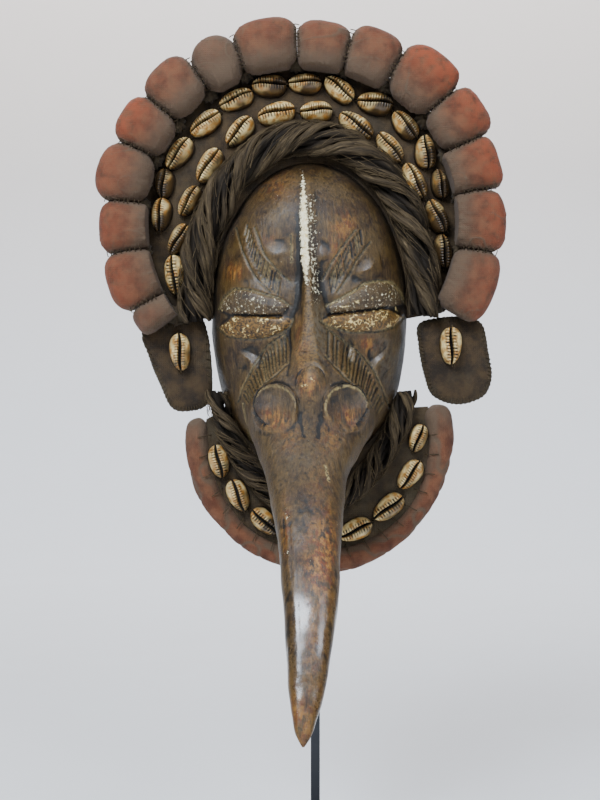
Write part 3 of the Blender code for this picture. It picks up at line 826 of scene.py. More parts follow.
@dataclass(frozen=True)
class PaintedSteel:
    """Square steel bar under satin black paint, with fine grain and dust."""

    name: str = "steel_bar_painted_black"
    paint: str = "1b1e24"
    dust: str = "4a4c50"

    def build(self) -> bpy.types.Material:
        """Mix paint and a little dust.

        Returns:
            The material.
        """
        t = Tree(self.name)
        add = t.add
        grain = add(Node.NOISE, per_metre(0.6), 3.0, 0.55)
        dusty = add(Node.STEP, add(Node.NOISE, per_metre(12.0), 6.0, 0.55), 0.5, 0.8)
        colour = add(Node.BLEND, add(Node.MULTIPLY, dusty, 0.25), linear(self.paint), linear(self.dust))
        rough = add(Node.ADD, 0.36, add(Node.MULTIPLY, grain, 0.15))
        normal = add(Node.RELIEF, grain, 0.05 * MM, 1.0)
        return t.finish(Base_Color=colour, Roughness=rough, Normal=normal, Specular_IOR_Level=0.5)


@dataclass(frozen=True)
class MattePaint:
    """A plain matte wall or floor, a little warmer higher up."""

    name: str
    low: str
    high: str
    mottle: str = "a9a59f"

    def build(self) -> bpy.types.Material:
        """Give the plain colour a faint mottle.

        Returns:
            The material.
        """
        t = Tree(self.name)
        add = t.add
        rise = add(Node.STEP, add(Node.HEIGHT), 0.1, 1.1)
        colour = add(Node.BLEND, rise, linear(self.low), linear(self.high))
        faint = add(Node.MULTIPLY, add(Node.NOISE, per_metre(90.0), 3.0, 0.55), 0.06)
        return t.finish(Base_Color=add(Node.BLEND, faint, colour, linear(self.mottle)), Roughness=0.9)


# The wooden mask


@dataclass(frozen=True)
class Station:
    """The muzzle and beak at one height, all in metres."""

    height: float
    reach: float
    width: float
    thickness: float
    aside: float


STATIONS = tuple(
    Station(*row)
    for row in (
        (0.3280, 0.056, 0.0300, 0.0450, -0.0040),
        (0.3180, 0.070, 0.0540, 0.0600, -0.0040),
        (0.3090, 0.077, 0.0700, 0.0680, -0.0038),
        (0.2965, 0.085, 0.0770, 0.0720, -0.0034),
        (0.2820, 0.094, 0.0770, 0.0740, -0.0034),
        (0.2700, 0.103, 0.0650, 0.0700, -0.0046),
        (0.2535, 0.114, 0.0490, 0.0560, -0.0062),
        (0.2380, 0.125, 0.0435, 0.0460, -0.0056),
        (0.2206, 0.136, 0.0380, 0.0380, -0.0048),
        (0.1889, 0.154, 0.0320, 0.0290, -0.0042),
        (0.1582, 0.169, 0.0245, 0.0210, -0.0054),
        (0.1281, 0.181, 0.0140, 0.0115, -0.0074),
        (0.1180, 0.184, 0.0070, 0.0060, -0.0083),
        (0.1140, 0.185, 0.0012, 0.0010, -0.0085),
    )
)


def rim_share(x: np.ndarray, z: np.ndarray) -> np.ndarray:
    """How far out a place is on the way from the face's middle to the mask's rim.

    Args:
        x: sideways from the face's middle.
        z: up from the face's widest part.

    Returns:
        0 in the middle and 1 on the rim.
    """
    rise = np.where(z >= 0, FOREHEAD_RISE, CHIN_DROP)
    power = np.where(z >= 0, BROW_POWER, JAW_POWER)
    return (np.abs(x / FACE_HALF_WIDTH) ** power + np.abs(z / rise) ** power) ** (1.0 / power)


def blob(
    pixels: np.ndarray, across: float, down: float, wide: float, high: float, turn: float = 0.0
) -> np.ndarray:
    """A soft oval patch in the picture.

    Args:
        pixels: rows of across and down.
        across: middle across.
        down: middle down.
        wide: half width in pixels.
        high: half height in pixels.
        turn: degrees clockwise in the picture.

    Returns:
        1 in the middle, falling smoothly to 0 outside.
    """
    angle = math.radians(turn)
    dx, dy = pixels[:, 0] - across, pixels[:, 1] - down
    u = (dx * math.cos(angle) + dy * math.sin(angle)) / wide
    v = (dy * math.cos(angle) - dx * math.sin(angle)) / high
    return np.exp(-(u**2 + v**2))


LEFT_LID_TOP = ((219, 309), (224, 298), (234.4, 289), (249, 289.6), (263, 293.8), (278.6, 298), (290, 306))
LEFT_SLIT = ((234, 315.5), (250, 315.8), (266, 316.4), (280, 316.0))
LEFT_LID_BASE = ((293, 319), (291, 326), (278, 334), (262, 338.5), (246, 338.8), (228, 336), (218, 328))
RIGHT_LID_TOP = (
    (326, 306), (338, 300), (353, 291.7), (364, 284), (378, 280.8), (392, 283), (400, 291.7), (405.6, 304)
)
RIGHT_SLIT = ((330, 315.0), (340, 313.8), (354.3, 312), (370, 310.4), (386, 308.2))
RIGHT_LID_BASE = (
    (403.5, 317), (393.6, 326.8), (375.4, 331.7), (351.5, 331.7), (330.5, 326.8), (320.7, 321.2)
)


@dataclass(frozen=True)
class Cut:
    """A knife line: its route in the picture, half width in pixels, depth in millimetres, and how pale the
    dust and painted highlight along its edges are.
    """

    route: tuple[tuple[float, float], ...]
    half: float
    depth: float
    pale: float = 0.0


@dataclass(frozen=True)
class ScarBand:
    """A band of close strokes between two knife lines, all in picture pixels."""

    upper: tuple[tuple[float, float], ...]
    lower: tuple[tuple[float, float], ...]
    strokes: int
    lean: float

    def cuts(self, seed: int) -> list[Cut]:
        """List the band's border lines and its strokes, which run from border to border.

        Args:
            seed: picks the strokes' small shifts.

        Returns:
            The knife lines.
        """
        rng = np.random.default_rng(seed)
        found = [Cut(self.upper, 1.0, 0.8, 0.17), Cut(self.lower, 1.0, 0.8, 0.13)]
        top, base = np.array(self.upper, float), np.array(self.lower, float)
        for share in (np.arange(self.strokes) + 0.5) / self.strokes:
            spot = [
                np.interp(share + rng.normal(0, 0.008), np.linspace(0, 1, len(c)), c[:, k])
                for c in (top, base) for k in (0, 1)
            ]
            a, b = np.array(spot[:2]), np.array(spot[2:])
            middle, reach = (a + b) / 2, (b - a) * (0.46 + rng.normal(0, 0.03))
            run = np.array([self.lean, 1.0]) * np.linalg.norm(reach)
            reach = 0.35 * reach + 0.65 * run
            route = (tuple(middle - reach), tuple(middle + reach))
            found.append(Cut(route, 1.0, 0.8 + 0.4 * rng.random(), 0.22 * rng.random()))
        return found


SCARS = (
    ScarBand(((255, 228), (264.5, 255), (278.6, 272), (290, 282)),
        ((236, 228), (242, 250), (249, 266), (256, 278), (270, 292)), 17, 0.30),
    ScarBand(((355, 230), (342, 247), (330.5, 264), (322, 281)),
        ((370, 242), (356, 261), (348.7, 276), (337.5, 292)), 17, -0.22),
    ScarBand(((285, 333), (266, 346.5), (254.7, 364.7), (242, 388.6), (238, 402)),
        ((288.4, 362), (275.8, 374.5), (263, 384), (252, 398)), 16, -0.05),
    ScarBand(((326, 328), (354.3, 349), (371, 364.7), (381, 386), (391, 411)),
        ((326, 356), (347, 379), (361, 391), (372.6, 408)), 18, 0.05),
)
SINGLE_CUTS = (
    Cut(LEFT_SLIT, 1.7, 3.0), Cut(RIGHT_SLIT, 1.7, 3.0),
    Cut(LEFT_LID_TOP, 1.2, 0.8, 0.3), Cut(RIGHT_LID_TOP, 1.2, 0.8, 0.4),
    Cut(LEFT_LID_BASE, 1.5, 0.7, 0.15), Cut(RIGHT_LID_BASE, 1.5, 0.7, 0.25),
    Cut(((291, 235), (291.5, 262)), 0.9, 0.3, 0.45),
    Cut(((297, 215), (298, 262), (300, 300), (303, 345)), 3.2, 0.45),
    Cut(((289, 322), (290, 352), (287, 374)), 2.2, 0.7),
    Cut(((324, 400), (320, 420), (319, 436)), 2.4, 0.4), Cut(((298, 400), (301, 420), (303, 436)), 2.4, 0.4),
    Cut(((325, 466), (329, 481)), 0.8, 0.3, 0.7), Cut(((322, 520), (320, 556)), 1.0, 0.12),
    Cut(((283, 520), (288, 600)), 1.8, 0.35), Cut(((289, 515), (292, 580)), 1.4, 0.2),
    Cut(((296, 560), (299, 640)), 1.4, 0.15),
    Cut(((243, 404), (250, 440), (262, 470)), 1.2, 0.3, 0.4),
)
# Flat adze cuts: across, down, half width and half height in picture pixels.
FACETS = (
    (277, 249, 9, 7), (366, 266, 10, 9), (378, 358, 8, 12), (351, 352, 4, 9), (323, 250, 6, 8),
    (252, 357, 9, 8),
)
# The two cups in the picture: the middle between them and half their distance, in pixels.
CUPS_MIDDLE = 310.5
CUPS_APART = 36.5
KEY_LIGHT = (-0.42, -1.0, 1.12)
FILL_LIGHT = (0.50, -1.0, 1.02)


@dataclass(frozen=True)
class CarvedFace:
    """The mask: one surface through the dome, the muzzle and beak, the cups and the nose's knob."""

    voxel: float = 0.9 * MM
    kept: float = 0.56
    muzzle_fillet: float = 21.0 * MM
    cup_fillet: float = 4.5 * MM
    cup_radius: float = 0.0143
    cup_depth: float = 0.0030
    cup_spread: float = 0.0225
    cup_z: float = 0.2965
    cup_forward: float = 0.0886
    cup_outward: float = 0.17
    cup_upward: float = 0.26
    cup_sunk: float = 3.2 * MM
    cup_length: float = 0.026
    swell_size: tuple[float, float, float] = (0.032, 0.0225, 0.0275)
    swell_fillet: float = 14.0 * MM
    swell_forward: float = 0.0625
    swell_z: float = 0.3010
    knob_radius: float = 0.0068
    knob_squash: tuple[float, float, float] = (1.12, 1.0, 0.60)
    knob_fillet: float = 9.0 * MM
    knob_z: float = 0.3070
    knob_forward: float = 0.0818
    rounds: int = 9
    longest_step: float = 1.6 * MM

    def relief(self, x: np.ndarray, z: np.ndarray) -> np.ndarray:
        """Carving over the plain dome: brow keel, wedge nose and hollow cheeks.

        The nose is a ridge whose sides fall in straight planes, steeper on the left, and which
        widens and rises from the brow down to its tip.

        Args:
            x: sideways from the face's middle.
            z: up from the face's widest part.

        Returns:
            The height of the carving in metres.
        """
        across, up = x / FACE_HALF_WIDTH, z / FACE_HALF_WIDTH
        ridge = across + 0.02
        brow = (
            0.026 * np.exp(-((ridge / 0.06) ** 2)) * smooth_step((1.3 - up) / 0.2)
            * smooth_step((up + 0.1) / 0.3)
        )
        down = smooth_step((0.35 - up) / 1.15)
        wide = 0.13 + 0.34 * down**1.6
        side = np.where(ridge < 0, 0.62 * wide, wide)
        nose = (0.06 + 0.27 * down) * np.clip(1.0 - np.abs(ridge) / side, 0.0, 1.0) ** 1.15
        nose = nose * smooth_step((0.55 - up) / 0.3) * smooth_step((up + 1.35) / 0.45)
        cheek = -0.075 * np.exp(-(((np.abs(across) - 0.50) / 0.27) ** 2) - (((up + 0.62) / 0.30) ** 2))
        socket = -0.035 * np.exp(-(((np.abs(across) - 0.42) / 0.30) ** 2) - (((up - 0.17) / 0.10) ** 2))
        return (brow + nose + cheek + socket) * FACE_HALF_WIDTH

    def dome_field(self, points: np.ndarray) -> np.ndarray:
        """Rough signed distance to the face's dome with its carving.

        The dome is share to the power 3.2 plus (depth over full depth) squared equals 1.

        Args:
            points: rows of x, y and z.

        Returns:
            Distances in metres, negative inside.
        """
        x, z = points[:, 0] - FACE_X, points[:, 2] - FACE_Z
        share = rim_share(x, z)
        fade = smooth_step((1.0 - share) / 0.10)
        forward = RIM_Y - points[:, 1] - self.relief(x, z) * fade
        level = share**DOME_POWER + (np.maximum(forward, 0.0) / FACE_DEPTH) ** 2 - 1.0
        out = np.maximum(np.hypot(x, z), 1e-6)
        slope = np.hypot(DOME_POWER * share**DOME_POWER / out, 2 * np.maximum(forward, 0.0) / FACE_DEPTH**2)
        return level / np.maximum(slope, 8.0)

    def beak_field(self, points: np.ndarray) -> np.ndarray:
        """Rough signed distance to the muzzle and beak.

        Each height has a rounded section cut to a flat front, two bevels and two sides: the
        eighth-power mean of how far a place lies along each plane's direction.

        Args:
            points: rows of x, y and z.

        Returns:
            Distances in metres, negative inside.
        """
        rows = np.array([(s.height, s.reach, s.width, s.thickness, s.aside) for s in STATIONS])[::-1]
        height = np.clip(points[:, 2], rows[0, 0], rows[-1, 0])
        slopes = np.gradient(rows[:, 1:], rows[:, 0], axis=0)
        cell = np.clip(np.searchsorted(rows[:, 0], height) - 1, 0, len(rows) - 2)
        span = rows[cell + 1, 0] - rows[cell, 0]
        t = ((height - rows[cell, 0]) / span)[:, None]
        span = span[:, None]
        values = (
            (2 * t**3 - 3 * t**2 + 1) * rows[cell, 1:]
            + (t**3 - 2 * t**2 + t) * span * slopes[cell]
            + (3 * t**2 - 2 * t**3) * rows[cell + 1, 1:]
            + (t**3 - t**2) * span * slopes[cell + 1]
        )
        reach, width, thick, aside = values.T
        width, thick = np.maximum(width, 0.0008), np.maximum(thick, 0.0008)
        dx = points[:, 0] - aside
        dy = points[:, 1] - (RIM_Y - reach + thick / 2)
        u, v = 2 * dx / width, 2 * dy / thick
        planes = (
            (0.0, -1.0, 1.0), (0.72, -0.69, 0.86), (-0.72, -0.69, 0.86), (1.0, 0.0, 1.0), (-1.0, 0.0, 1.0)
        )
        faceted = sum(np.maximum((a * u + b * v) * c, 0.0) ** 8 for a, b, c in planes)
        faceted = (faceted + np.maximum(v, 0.0) ** 8 + np.maximum(0.6 * (np.abs(u) + v), 0.0) ** 8) ** 0.125
        round_ring = (np.abs(u) ** 2.5 + np.abs(v) ** 2.35) ** (1 / 2.42)
        cut = smooth_step((0.262 - points[:, 2]) / 0.03) * 0.7
        ring = faceted * cut + round_ring * (1.0 - cut)
        distance = np.hypot(dx, dy) * (1.0 - 1.0 / np.maximum(ring, 0.05))
        return distance * 0.8 + np.abs(points[:, 2] - height)

    def cup_field(self, points: np.ndarray, side: int) -> np.ndarray:
        """Rough signed distance to a round cup: a short turned post with a dished front.

        Args:
            points: rows of x, y and z.
            side: -1 for the left cup and 1 for the right.

        Returns:
            Distances in metres, negative inside.
        """
        middle = np.array([FACE_X + side * self.cup_spread, RIM_Y - self.cup_forward, self.cup_z])
        axis = np.array([self.cup_outward * side, -1.0, self.cup_upward])
        axis /= np.linalg.norm(axis)
        offset = points - middle
        along = offset @ axis
        radius = np.linalg.norm(offset - along[:, None] * axis, axis=1)
        dish = self.cup_depth * np.clip(1.0 - (radius / (0.95 * self.cup_radius)) ** 2.2, 0.0, 1.0)
        sunk = self.cup_sunk * smooth_step((self.cup_z - points[:, 2]) / (13 * MM))
        body = np.maximum(radius - self.cup_radius, along + dish + sunk)
        return np.maximum(body, -self.cup_length - along)

    def field(self, points: np.ndarray) -> np.ndarray:
        """Rough signed distance to the whole outside of the mask.

        Args:
            points: rows of x, y and z.

        Returns:
            Distances in metres, negative inside.
        """
        total = smooth_minimum(self.dome_field(points), self.beak_field(points), self.muzzle_fillet)
        size = np.array(self.swell_size)
        place = (points - (FACE_X + 0.0005, RIM_Y - self.swell_forward, self.swell_z)) / size
        reach = np.linalg.norm(place, axis=1)
        swell = reach * (reach - 1.0) / np.maximum(np.linalg.norm(place / size, axis=1), 1.0)
        total = smooth_minimum(total, swell, self.swell_fillet)
        for side in (-1, 1):
            total = smooth_minimum(total, self.cup_field(points, side), self.cup_fillet)
        knob = np.array([FACE_X + 0.0008, RIM_Y - self.knob_forward, self.knob_z])
        ball = np.linalg.norm((points - knob) * self.knob_squash, axis=1) - self.knob_radius
        return smooth_minimum(total, ball, self.knob_fillet)

    def outside(self, points: np.ndarray) -> np.ndarray:
        """Tell the mask's outside from its hollow and rim.

        Args:
            points: rows of x, y and z.

        Returns:
            1 on the outside and 0 in the hollow, with a soft edge at the rim.
        """
        top, bottom = FACE_Z + FOREHEAD_RISE - SIDE_WALL, FACE_Z - CHIN_DROP + SIDE_WALL
        half = np.array([FACE_HALF_WIDTH - SIDE_WALL, FACE_DEPTH - FRONT_WALL, (top - bottom) / 2])
        egg = np.linalg.norm((points - (FACE_X, RIM_Y, (top + bottom) / 2)) / half, axis=1)
        in_front = smooth_step((RIM_Y - points[:, 1]) / (4 * MM))
        return smooth_step((egg - 1.03) / 0.08) * in_front

    def project(self, points: np.ndarray) -> np.ndarray:
        """Move the outside's points onto the surface where the field is zero, by Newton steps.

        Args:
            points: rows of x, y and z.

        Returns:
            The moved points.
        """
        weight = self.outside(points)
        chosen = weight > 0.01
        moved = points[chosen]
        step = 0.15 * MM
        for _ in range(self.rounds):
            value = self.field(moved)
            rise = [self.field(moved + step * axis) - self.field(moved - step * axis) for axis in np.eye(3)]
            slope = np.stack([each / (2 * step) for each in rise], 1)
            size = np.maximum((slope**2).sum(1), 0.05)
            shift = np.clip(value / size, -self.longest_step, self.longest_step)
            moved = moved - shift[:, None] * slope
        result = points.copy()
        result[chosen] += (moved - points[chosen]) * weight[chosen][:, None]
        return result

    def build(self, node: bpy.types.Object, finish: bpy.types.Material) -> bpy.types.Object:
        """Remesh the CAD mask finely, draw it onto the carved surface and paint it.

        Args:
            node: the CAD mask.
            finish: the wood.

        Returns:
            The piece.
        """
        mesh = modified(node.data.copy(), "REMESH", mode="VOXEL", voxel_size=self.voxel)
        set_coordinates(mesh, self.project(coordinates(mesh)))
        self.carve(mesh)
        self.paint(mesh)
        mesh = modified(mesh, "DECIMATE", ratio=self.kept)
        return add_piece("mask_carved", mesh, finish, Slot.WOOD, "mask")

    def all_cuts(self) -> list[Cut]:
        """List every knife line."""
        strokes = [cut for number, band in enumerate(SCARS) for cut in band.cuts(60 + number)]
        return [*SINGLE_CUTS, *strokes]

    def lids(self, pixels: np.ndarray) -> tuple[np.ndarray, np.ndarray]:
        """Signed distances to the upper and the lower eyelids.

        Args:
            pixels: rows of across and down.

        Returns:
            Pixels inside the upper and inside the lower lids.
        """
        upper = np.maximum(
            inside_distance(pixels, LEFT_LID_TOP + LEFT_SLIT[::-1]),
            inside_distance(pixels, RIGHT_LID_TOP + RIGHT_SLIT[::-1])
        )
        lower = np.maximum(
            inside_distance(pixels, LEFT_SLIT + LEFT_LID_BASE),
            inside_distance(pixels, RIGHT_SLIT + RIGHT_LID_BASE)
        )
        return upper, lower

    def carve(self, mesh: bpy.types.Mesh) -> None:
        """Raise the lids, cut the facets and knife lines, and roughen the hollow.

        A lid swells with the root of its distance from its edge. A facet draws its patch onto a
        plane. A knife line is a V whose depth falls off with the distance from its route.

        Args:
            mesh: the mask's mesh.
        """
        points, facing = coordinates(mesh), normals(mesh)
        pixels = VIEW.pixels(points)
        outside = self.outside(points)
        front = smooth_step(-facing[:, 1] / 0.25) * outside
        shift = fractal(points, 0.018, 2, 3) * 0.7 * MM * outside
        shift += np.abs(noise(points * (1.0, 1.0, 0.5), 0.009, 8)) * 1.1 * MM * (1.0 - outside)
        stipple = (
            smooth_step((0.315 - points[:, 2]) / 0.03) * (1.0 - smooth_step((0.235 - points[:, 2]) / 0.03))
        )
        shift += fractal(points, 0.0035, 2, 14) * (0.12 + 0.16 * stipple) * MM * outside
        upper, lower = self.lids(pixels)
        shift += front * 2.2 * MM * np.sqrt(np.clip(upper / 11.0, 0.0, 1.0))
        shift += front * 1.5 * MM * np.sqrt(np.clip(lower / 10.0, 0.0, 1.0))
        points = points + facing * shift[:, None]
        for across, down, wide, high in FACETS:
            uneven = 1.7 + 0.5 * noise(points, 0.007, 33)
            weight = (
                smooth_step(uneven - np.hypot((pixels[:, 0] - across) / wide,
                    (pixels[:, 1] - down) / high)) * front
            )
            near = np.argmin(np.hypot(pixels[:, 0] - across, pixels[:, 1] - down) + 1e3 * (front < 0.5))
            centre = points[near]
            sight = np.array([VIEW.x, VIEW.y, VIEW.z]) - centre
            ray = np.array(KEY_LIGHT if across < 306 else FILL_LIGHT) - centre
            plane = sight / np.linalg.norm(sight) + ray / np.linalg.norm(ray)
            plane /= np.linalg.norm(plane)
            rise = ((centre - points) @ plane) / np.maximum(facing @ plane, 0.4)
            points = points + facing * (weight * np.clip(rise, -1.1 * MM, 1.1 * MM))[:, None]
        depth = np.zeros(len(points))
        for cut in self.all_cuts():
            gap, _ = to_line(pixels, cut.route)
            depth = np.maximum(depth, cut.depth * MM * np.clip(1.0 - gap / (1.6 * cut.half), 0.0, 1.0))
        set_coordinates(mesh, points - facing * (depth * front)[:, None])

    def hollows(self, mesh: bpy.types.Mesh, rounds: int) -> np.ndarray:
        """How hollow or proud each point is: the smoothed push of its neighbours along its normal.

        Args:
            mesh: the mesh.
            rounds: how many times the push is averaged over neighbours.

        Returns:
            Millimetres, positive in a hollow.
        """
        points, facing = coordinates(mesh), normals(mesh)
        pairs = np.zeros(len(mesh.edges) * 2, np.int32)
        mesh.edges.foreach_get("vertices", pairs)
        one, two = pairs.reshape(-1, 2).T
        count = np.bincount(one, minlength=len(points)) + np.bincount(two, minlength=len(points))
        smooth = points
        for _ in range(rounds):
            size = len(points)
            total = [
                np.bincount(one, smooth[two, k], size) + np.bincount(two, smooth[one, k], size)
                for k in range(3)
            ]
            smooth = np.stack(total, 1) / count[:, None]
        return ((smooth - points) * facing).sum(1) / MM

    def paint(self, mesh: bpy.types.Mesh) -> None:
        """Store where the wood is worn, ashen, polished, whitened or dirty, and where shade and highlights
        are painted.

        Args:
            mesh: the mask's mesh.
        """
        points, facing = coordinates(mesh), normals(mesh)
        pixels = VIEW.pixels(points)
        outside = self.outside(points)
        front = smooth_step(-facing[:, 1] / 0.3) * outside
        across, down = pixels.T
        middle = np.interp(down, (172, 205, 262, 300), (303.0, 303.6, 305.4, 308.5))
        half = np.interp(down, (168, 174, 195, 215, 262, 285, 305), (-2.0, 1.2, 2.8, 4.2, 4.4, 1.6, -1.5))
        set_attribute(mesh, "clay", np.where(front > 0.5, half - np.abs(across - middle), -9.0))
        bits = (
            np.exp(-(((across - middle - 7.5) / 5.5) ** 2)) * smooth_step((down - 180) / 25)
            * smooth_step((312 - down) / 20)
        )
        bits = np.maximum(
            bits * 0.62, 0.55 * blob(pixels, 286, 516, 3, 4) + 0.55 * blob(pixels, 287, 552, 3, 4)
        )
        upper, lower = self.lids(pixels)
        bits = np.maximum(bits, 0.35 * smooth_step((upper + 0.5) / 2.0))
        set_attribute(mesh, "bits", bits * front)
        set_attribute(
            mesh, "lid", np.where(front > 0.3,
                np.maximum(lower, 7.0 * blob(pixels, 308, 382, 9, 11) - 3.0), -9.0)
        )
        splash = np.zeros(len(points))
        for x, y, w, h, turn in (
            (234.4, 319, 3, 4.5, 0), (238, 309, 5, 2.0, 40), (258, 330, 1.8, 8, 20), (261, 320, 3, 3, 30),
            (252, 305, 1.5, 4, 10),
            (248, 326, 2.5, 3, 0), (222, 311, 1.5, 3, 0), (372.5, 323, 1.8, 8, 0),
            (386.6, 315, 1.6, 7, 10), (356, 315, 3.5, 1.5, 0),
            (357, 301.5, 4.5, 3.5, 0), (372, 299, 2.2, 2.8, 0), (345, 306.5, 8, 1.6, -6),
            (396, 309, 1.5, 5, -20), (351, 327, 3, 2, 0),
            (390, 292, 2, 2, 0), (362, 328, 2.5, 2.5, 0), (335, 302, 5, 1.0, -20),
        ):
            splash = np.maximum(splash, blob(pixels, x, y, w, h, turn))
        set_attribute(mesh, "splash", np.clip(splash * 0.62, 0, 1) * front)
        worn = sum(
            strength * blob(pixels, x, y, w, h, turn)
            for x, y, w, h, turn, strength in (
                (338, 240, 9, 20, 0, 0.75), (349, 222, 6, 10, 0, 0.6), (235, 272, 9, 8, 0, 0.8),
                (270, 238, 7, 7, 0, 0.5),
                (368, 345, 9, 9, 0, 0.9), (370, 385, 4, 10, 0, 0.5), (310, 385, 9, 9, 0, 1.6),
                (318, 565, 15, 45, 0, 1.0),
                (312, 650, 11, 50, 0, 0.45), (300, 720, 12, 30, 0, 0.7), (300, 345, 5, 25, 0, 0.5),
                (280, 420, 9, 8, 0, 0.45),
                (350, 417, 11, 9, 0, 0.9), (271, 417, 11, 9, 0, 0.8), (330, 440, 12, 16, 0, 0.4),
                (290, 438, 12, 14, 0, 0.35), (286, 530, 5, 28, 0, 0.6), (330, 540, 7, 30, 0, 0.5),
                (318, 480, 14, 20, 0, 0.2), (275, 185, 20, 14, 0, 0.35),
            )
        )
        set_attribute(mesh, "worn", np.clip(worn, 0, 1.6) * front)
        right = smooth_step((across - 306) / 4)
        ashen = 0.85 * blob(pixels, 316, 335, 12, 38) * right + 0.5 * blob(pixels, 380, 360, 22, 35)
        ashen = (
            ashen + 0.6 * blob(pixels, 340, 560, 5, 80, 3) + 0.8 * blob(pixels, 270, 535, 7, 45, -9)
            + 0.2 * blob(pixels, 303, 660, 9, 50)
        )
        ashen = ashen + 0.25 * blob(pixels, 305, 450, 42, 26) + 0.20 * smooth_step((upper + 0.5) / 2.0)
        set_attribute(mesh, "ashen", np.clip(ashen, 0, 1) * front)
        # Dirt and painted shade: darker in fine and broad hollows, towards the rim and on the upper lids.
        fine, broad = self.hollows(mesh, 3), self.hollows(mesh, 24)
        grime_and_shade = np.clip(fine / 0.12, 0, 1) * 0.9 + np.clip(broad / 1.1, 0, 1) * 0.9
        rim = smooth_step((rim_share(points[:, 0] - FACE_X, points[:, 2] - FACE_Z) - 0.84) / 0.12)
        grime_and_shade = (
            grime_and_shade + 0.55 * rim * smooth_step((points[:, 2] - 0.285) / 0.03)
            + 0.12 * smooth_step((upper + 1) / 3) * front
        )
        set_attribute(mesh, "rubbed", np.clip(-fine / 0.16, 0, 1) * 0.55 + np.clip(-broad / 1.6, 0, 1) * 0.3)
        # Pale dust and a painted highlight along the edges of the knife lines.
        scratch_and_highlight = np.zeros(len(points))
        for cut in self.all_cuts():
            if cut.pale > 0.05:
                gap, _ = to_line(pixels, cut.route)
                scratch_and_highlight = np.maximum(scratch_and_highlight, cut.pale * np.clip(1.2 - np.abs(gap - 0.7) / 0.7, 0, 1))
        # A painted highlight on the upper rim of each cup.
        for side in (-1, 1):
            ring = np.hypot(across - (CUPS_MIDDLE + side * CUPS_APART), down - 407.5)
            upper_half = smooth_step((411 + 4 * (side + 1) - down) / 12)
            scratch_and_highlight = np.maximum(
                scratch_and_highlight, (0.35 if side < 0 else 0.6) * upper_half * np.exp(-(((ring - 21.5) / 0.9) ** 2))
            )
        set_attribute(mesh, "scratch_and_highlight", np.clip(scratch_and_highlight, 0, 1) * front)
        polish = np.clip(0.28 + 0.7 * fractal(points, 0.025, 3, 21), 0.05, 0.60)
        for x, y, w, h in FACETS:
            near = blob(pixels, x, y, w * 1.2, h * 1.2)
            polish = np.maximum(polish, (0.80 + 0.16 * noise(points * (1.0, 1.0, 0.5), 0.0025, 35)) * near)
            grime_and_shade = grime_and_shade * (1.0 - 0.8 * near)
        beak = smooth_step((0.262 - points[:, 2]) / 0.03)
        polish = np.maximum(
            polish, beak * (0.36 + 0.3 * noise(points * (1.0, 1.0, 0.2), 0.006, 36)
                + 0.38 * smooth_step((down - 560) / 60))
        )
        set_attribute(mesh, "polish", polish * outside)
        for side in (-1, 1):
            grime_and_shade = grime_and_shade * (1.0 - 0.75 * blob(pixels, CUPS_MIDDLE + side * CUPS_APART, 414, 17, 15))
            grime_and_shade = grime_and_shade * (1.0 - 0.6 * blob(pixels, CUPS_MIDDLE + side * CUPS_APART, 402, 20, 18))
        grime_and_shade = (
            grime_and_shade * (1.0 - 0.9 * blob(pixels, 309, 386, 14, 20))
            * (1.0 - 0.6 * blob(pixels, 309, 366, 34, 14))
        )
        # Painted shade in the upper part of the right cup's hollow.
        grime_and_shade = grime_and_shade + 0.5 * blob(pixels, 333, 403, 5, 6) + 0.15 * blob(pixels, 347, 395, 16, 7)
        streak = fractal(points * (1.0, 1.0, 0.06), 0.0034, 3, 37)
        grime_and_shade = (
            grime_and_shade + (0.35 + 0.65 * beak) * smooth_step((streak - 0.02) / 0.5) * 0.6
            * (1 - 0.5 * blob(pixels, 318, 570, 12, 50))
        )
        # The hollow back is darker too.
        set_attribute(mesh, "grime_and_shade", np.clip(grime_and_shade + 0.5 * (1 - outside), 0, 1))


# Headdress


def crest_point(degrees: np.ndarray, radius: np.ndarray) -> tuple[np.ndarray, np.ndarray]:
    """Turn degrees anticlockwise from the right and metres from the headdress's middle into x and z."""
    angle = np.radians(degrees)
    return CREST_X + radius * np.cos(angle), CREST_Z + radius * np.sin(angle)


def crest_polar(points: np.ndarray) -> tuple[np.ndarray, np.ndarray]:
    """Find where points lie round the headdress's middle.

    Args:
        points: rows of x, y and z.

    Returns:
        Distances from the middle, and angles from -90 to 270 degrees.
    """
    dx, dz = points[:, 0] - CREST_X, points[:, 2] - CREST_Z
    turn = np.degrees(np.arctan2(dz, dx))
    return np.hypot(dx, dz), np.where(turn < -90.0, turn + 360.0, turn)


def band_front(radius: np.ndarray) -> np.ndarray:
    """Depth of the band's face: flat under the pads and a cone rising towards the face inside them."""
    return RIM_Y - BAND_FORWARD - BAND_SLOPE * np.maximum(PAD_INNER_RADIUS - radius, 0.0)


def ball_of_quads(count: int) -> tuple[np.ndarray, np.ndarray]:
    """A unit ball of even quads: the grids on a cube's six sides, drawn out to the ball.

    Args:
        count: quads along each side of the cube.

    Returns:
        Points and quads.
    """
    s = np.tan(np.linspace(-1.0, 1.0, count + 1) * math.pi / 4)
    a, b = np.meshgrid(s, s, indexing="ij")
    sides, faces, offset = [], [], 0
    for axis in range(3):
        for sign in (-1.0, 1.0):
            side = np.zeros((count + 1, count + 1, 3))
            side[..., axis] = sign
            side[..., (axis + 1) % 3] = a * sign
            side[..., (axis + 2) % 3] = b
            sides.append(side.reshape(-1, 3))
            faces.append(grid_faces(count + 1, count + 1, False) + offset)
            offset += (count + 1) ** 2
    points = np.concatenate(sides)
    _, first, back = np.unique(np.round(points, 6), axis=0, return_index=True, return_inverse=True)
    points = points[first]
    points /= np.linalg.norm(points, axis=1)[:, None]
    return points, back.reshape(-1)[np.concatenate(faces)]


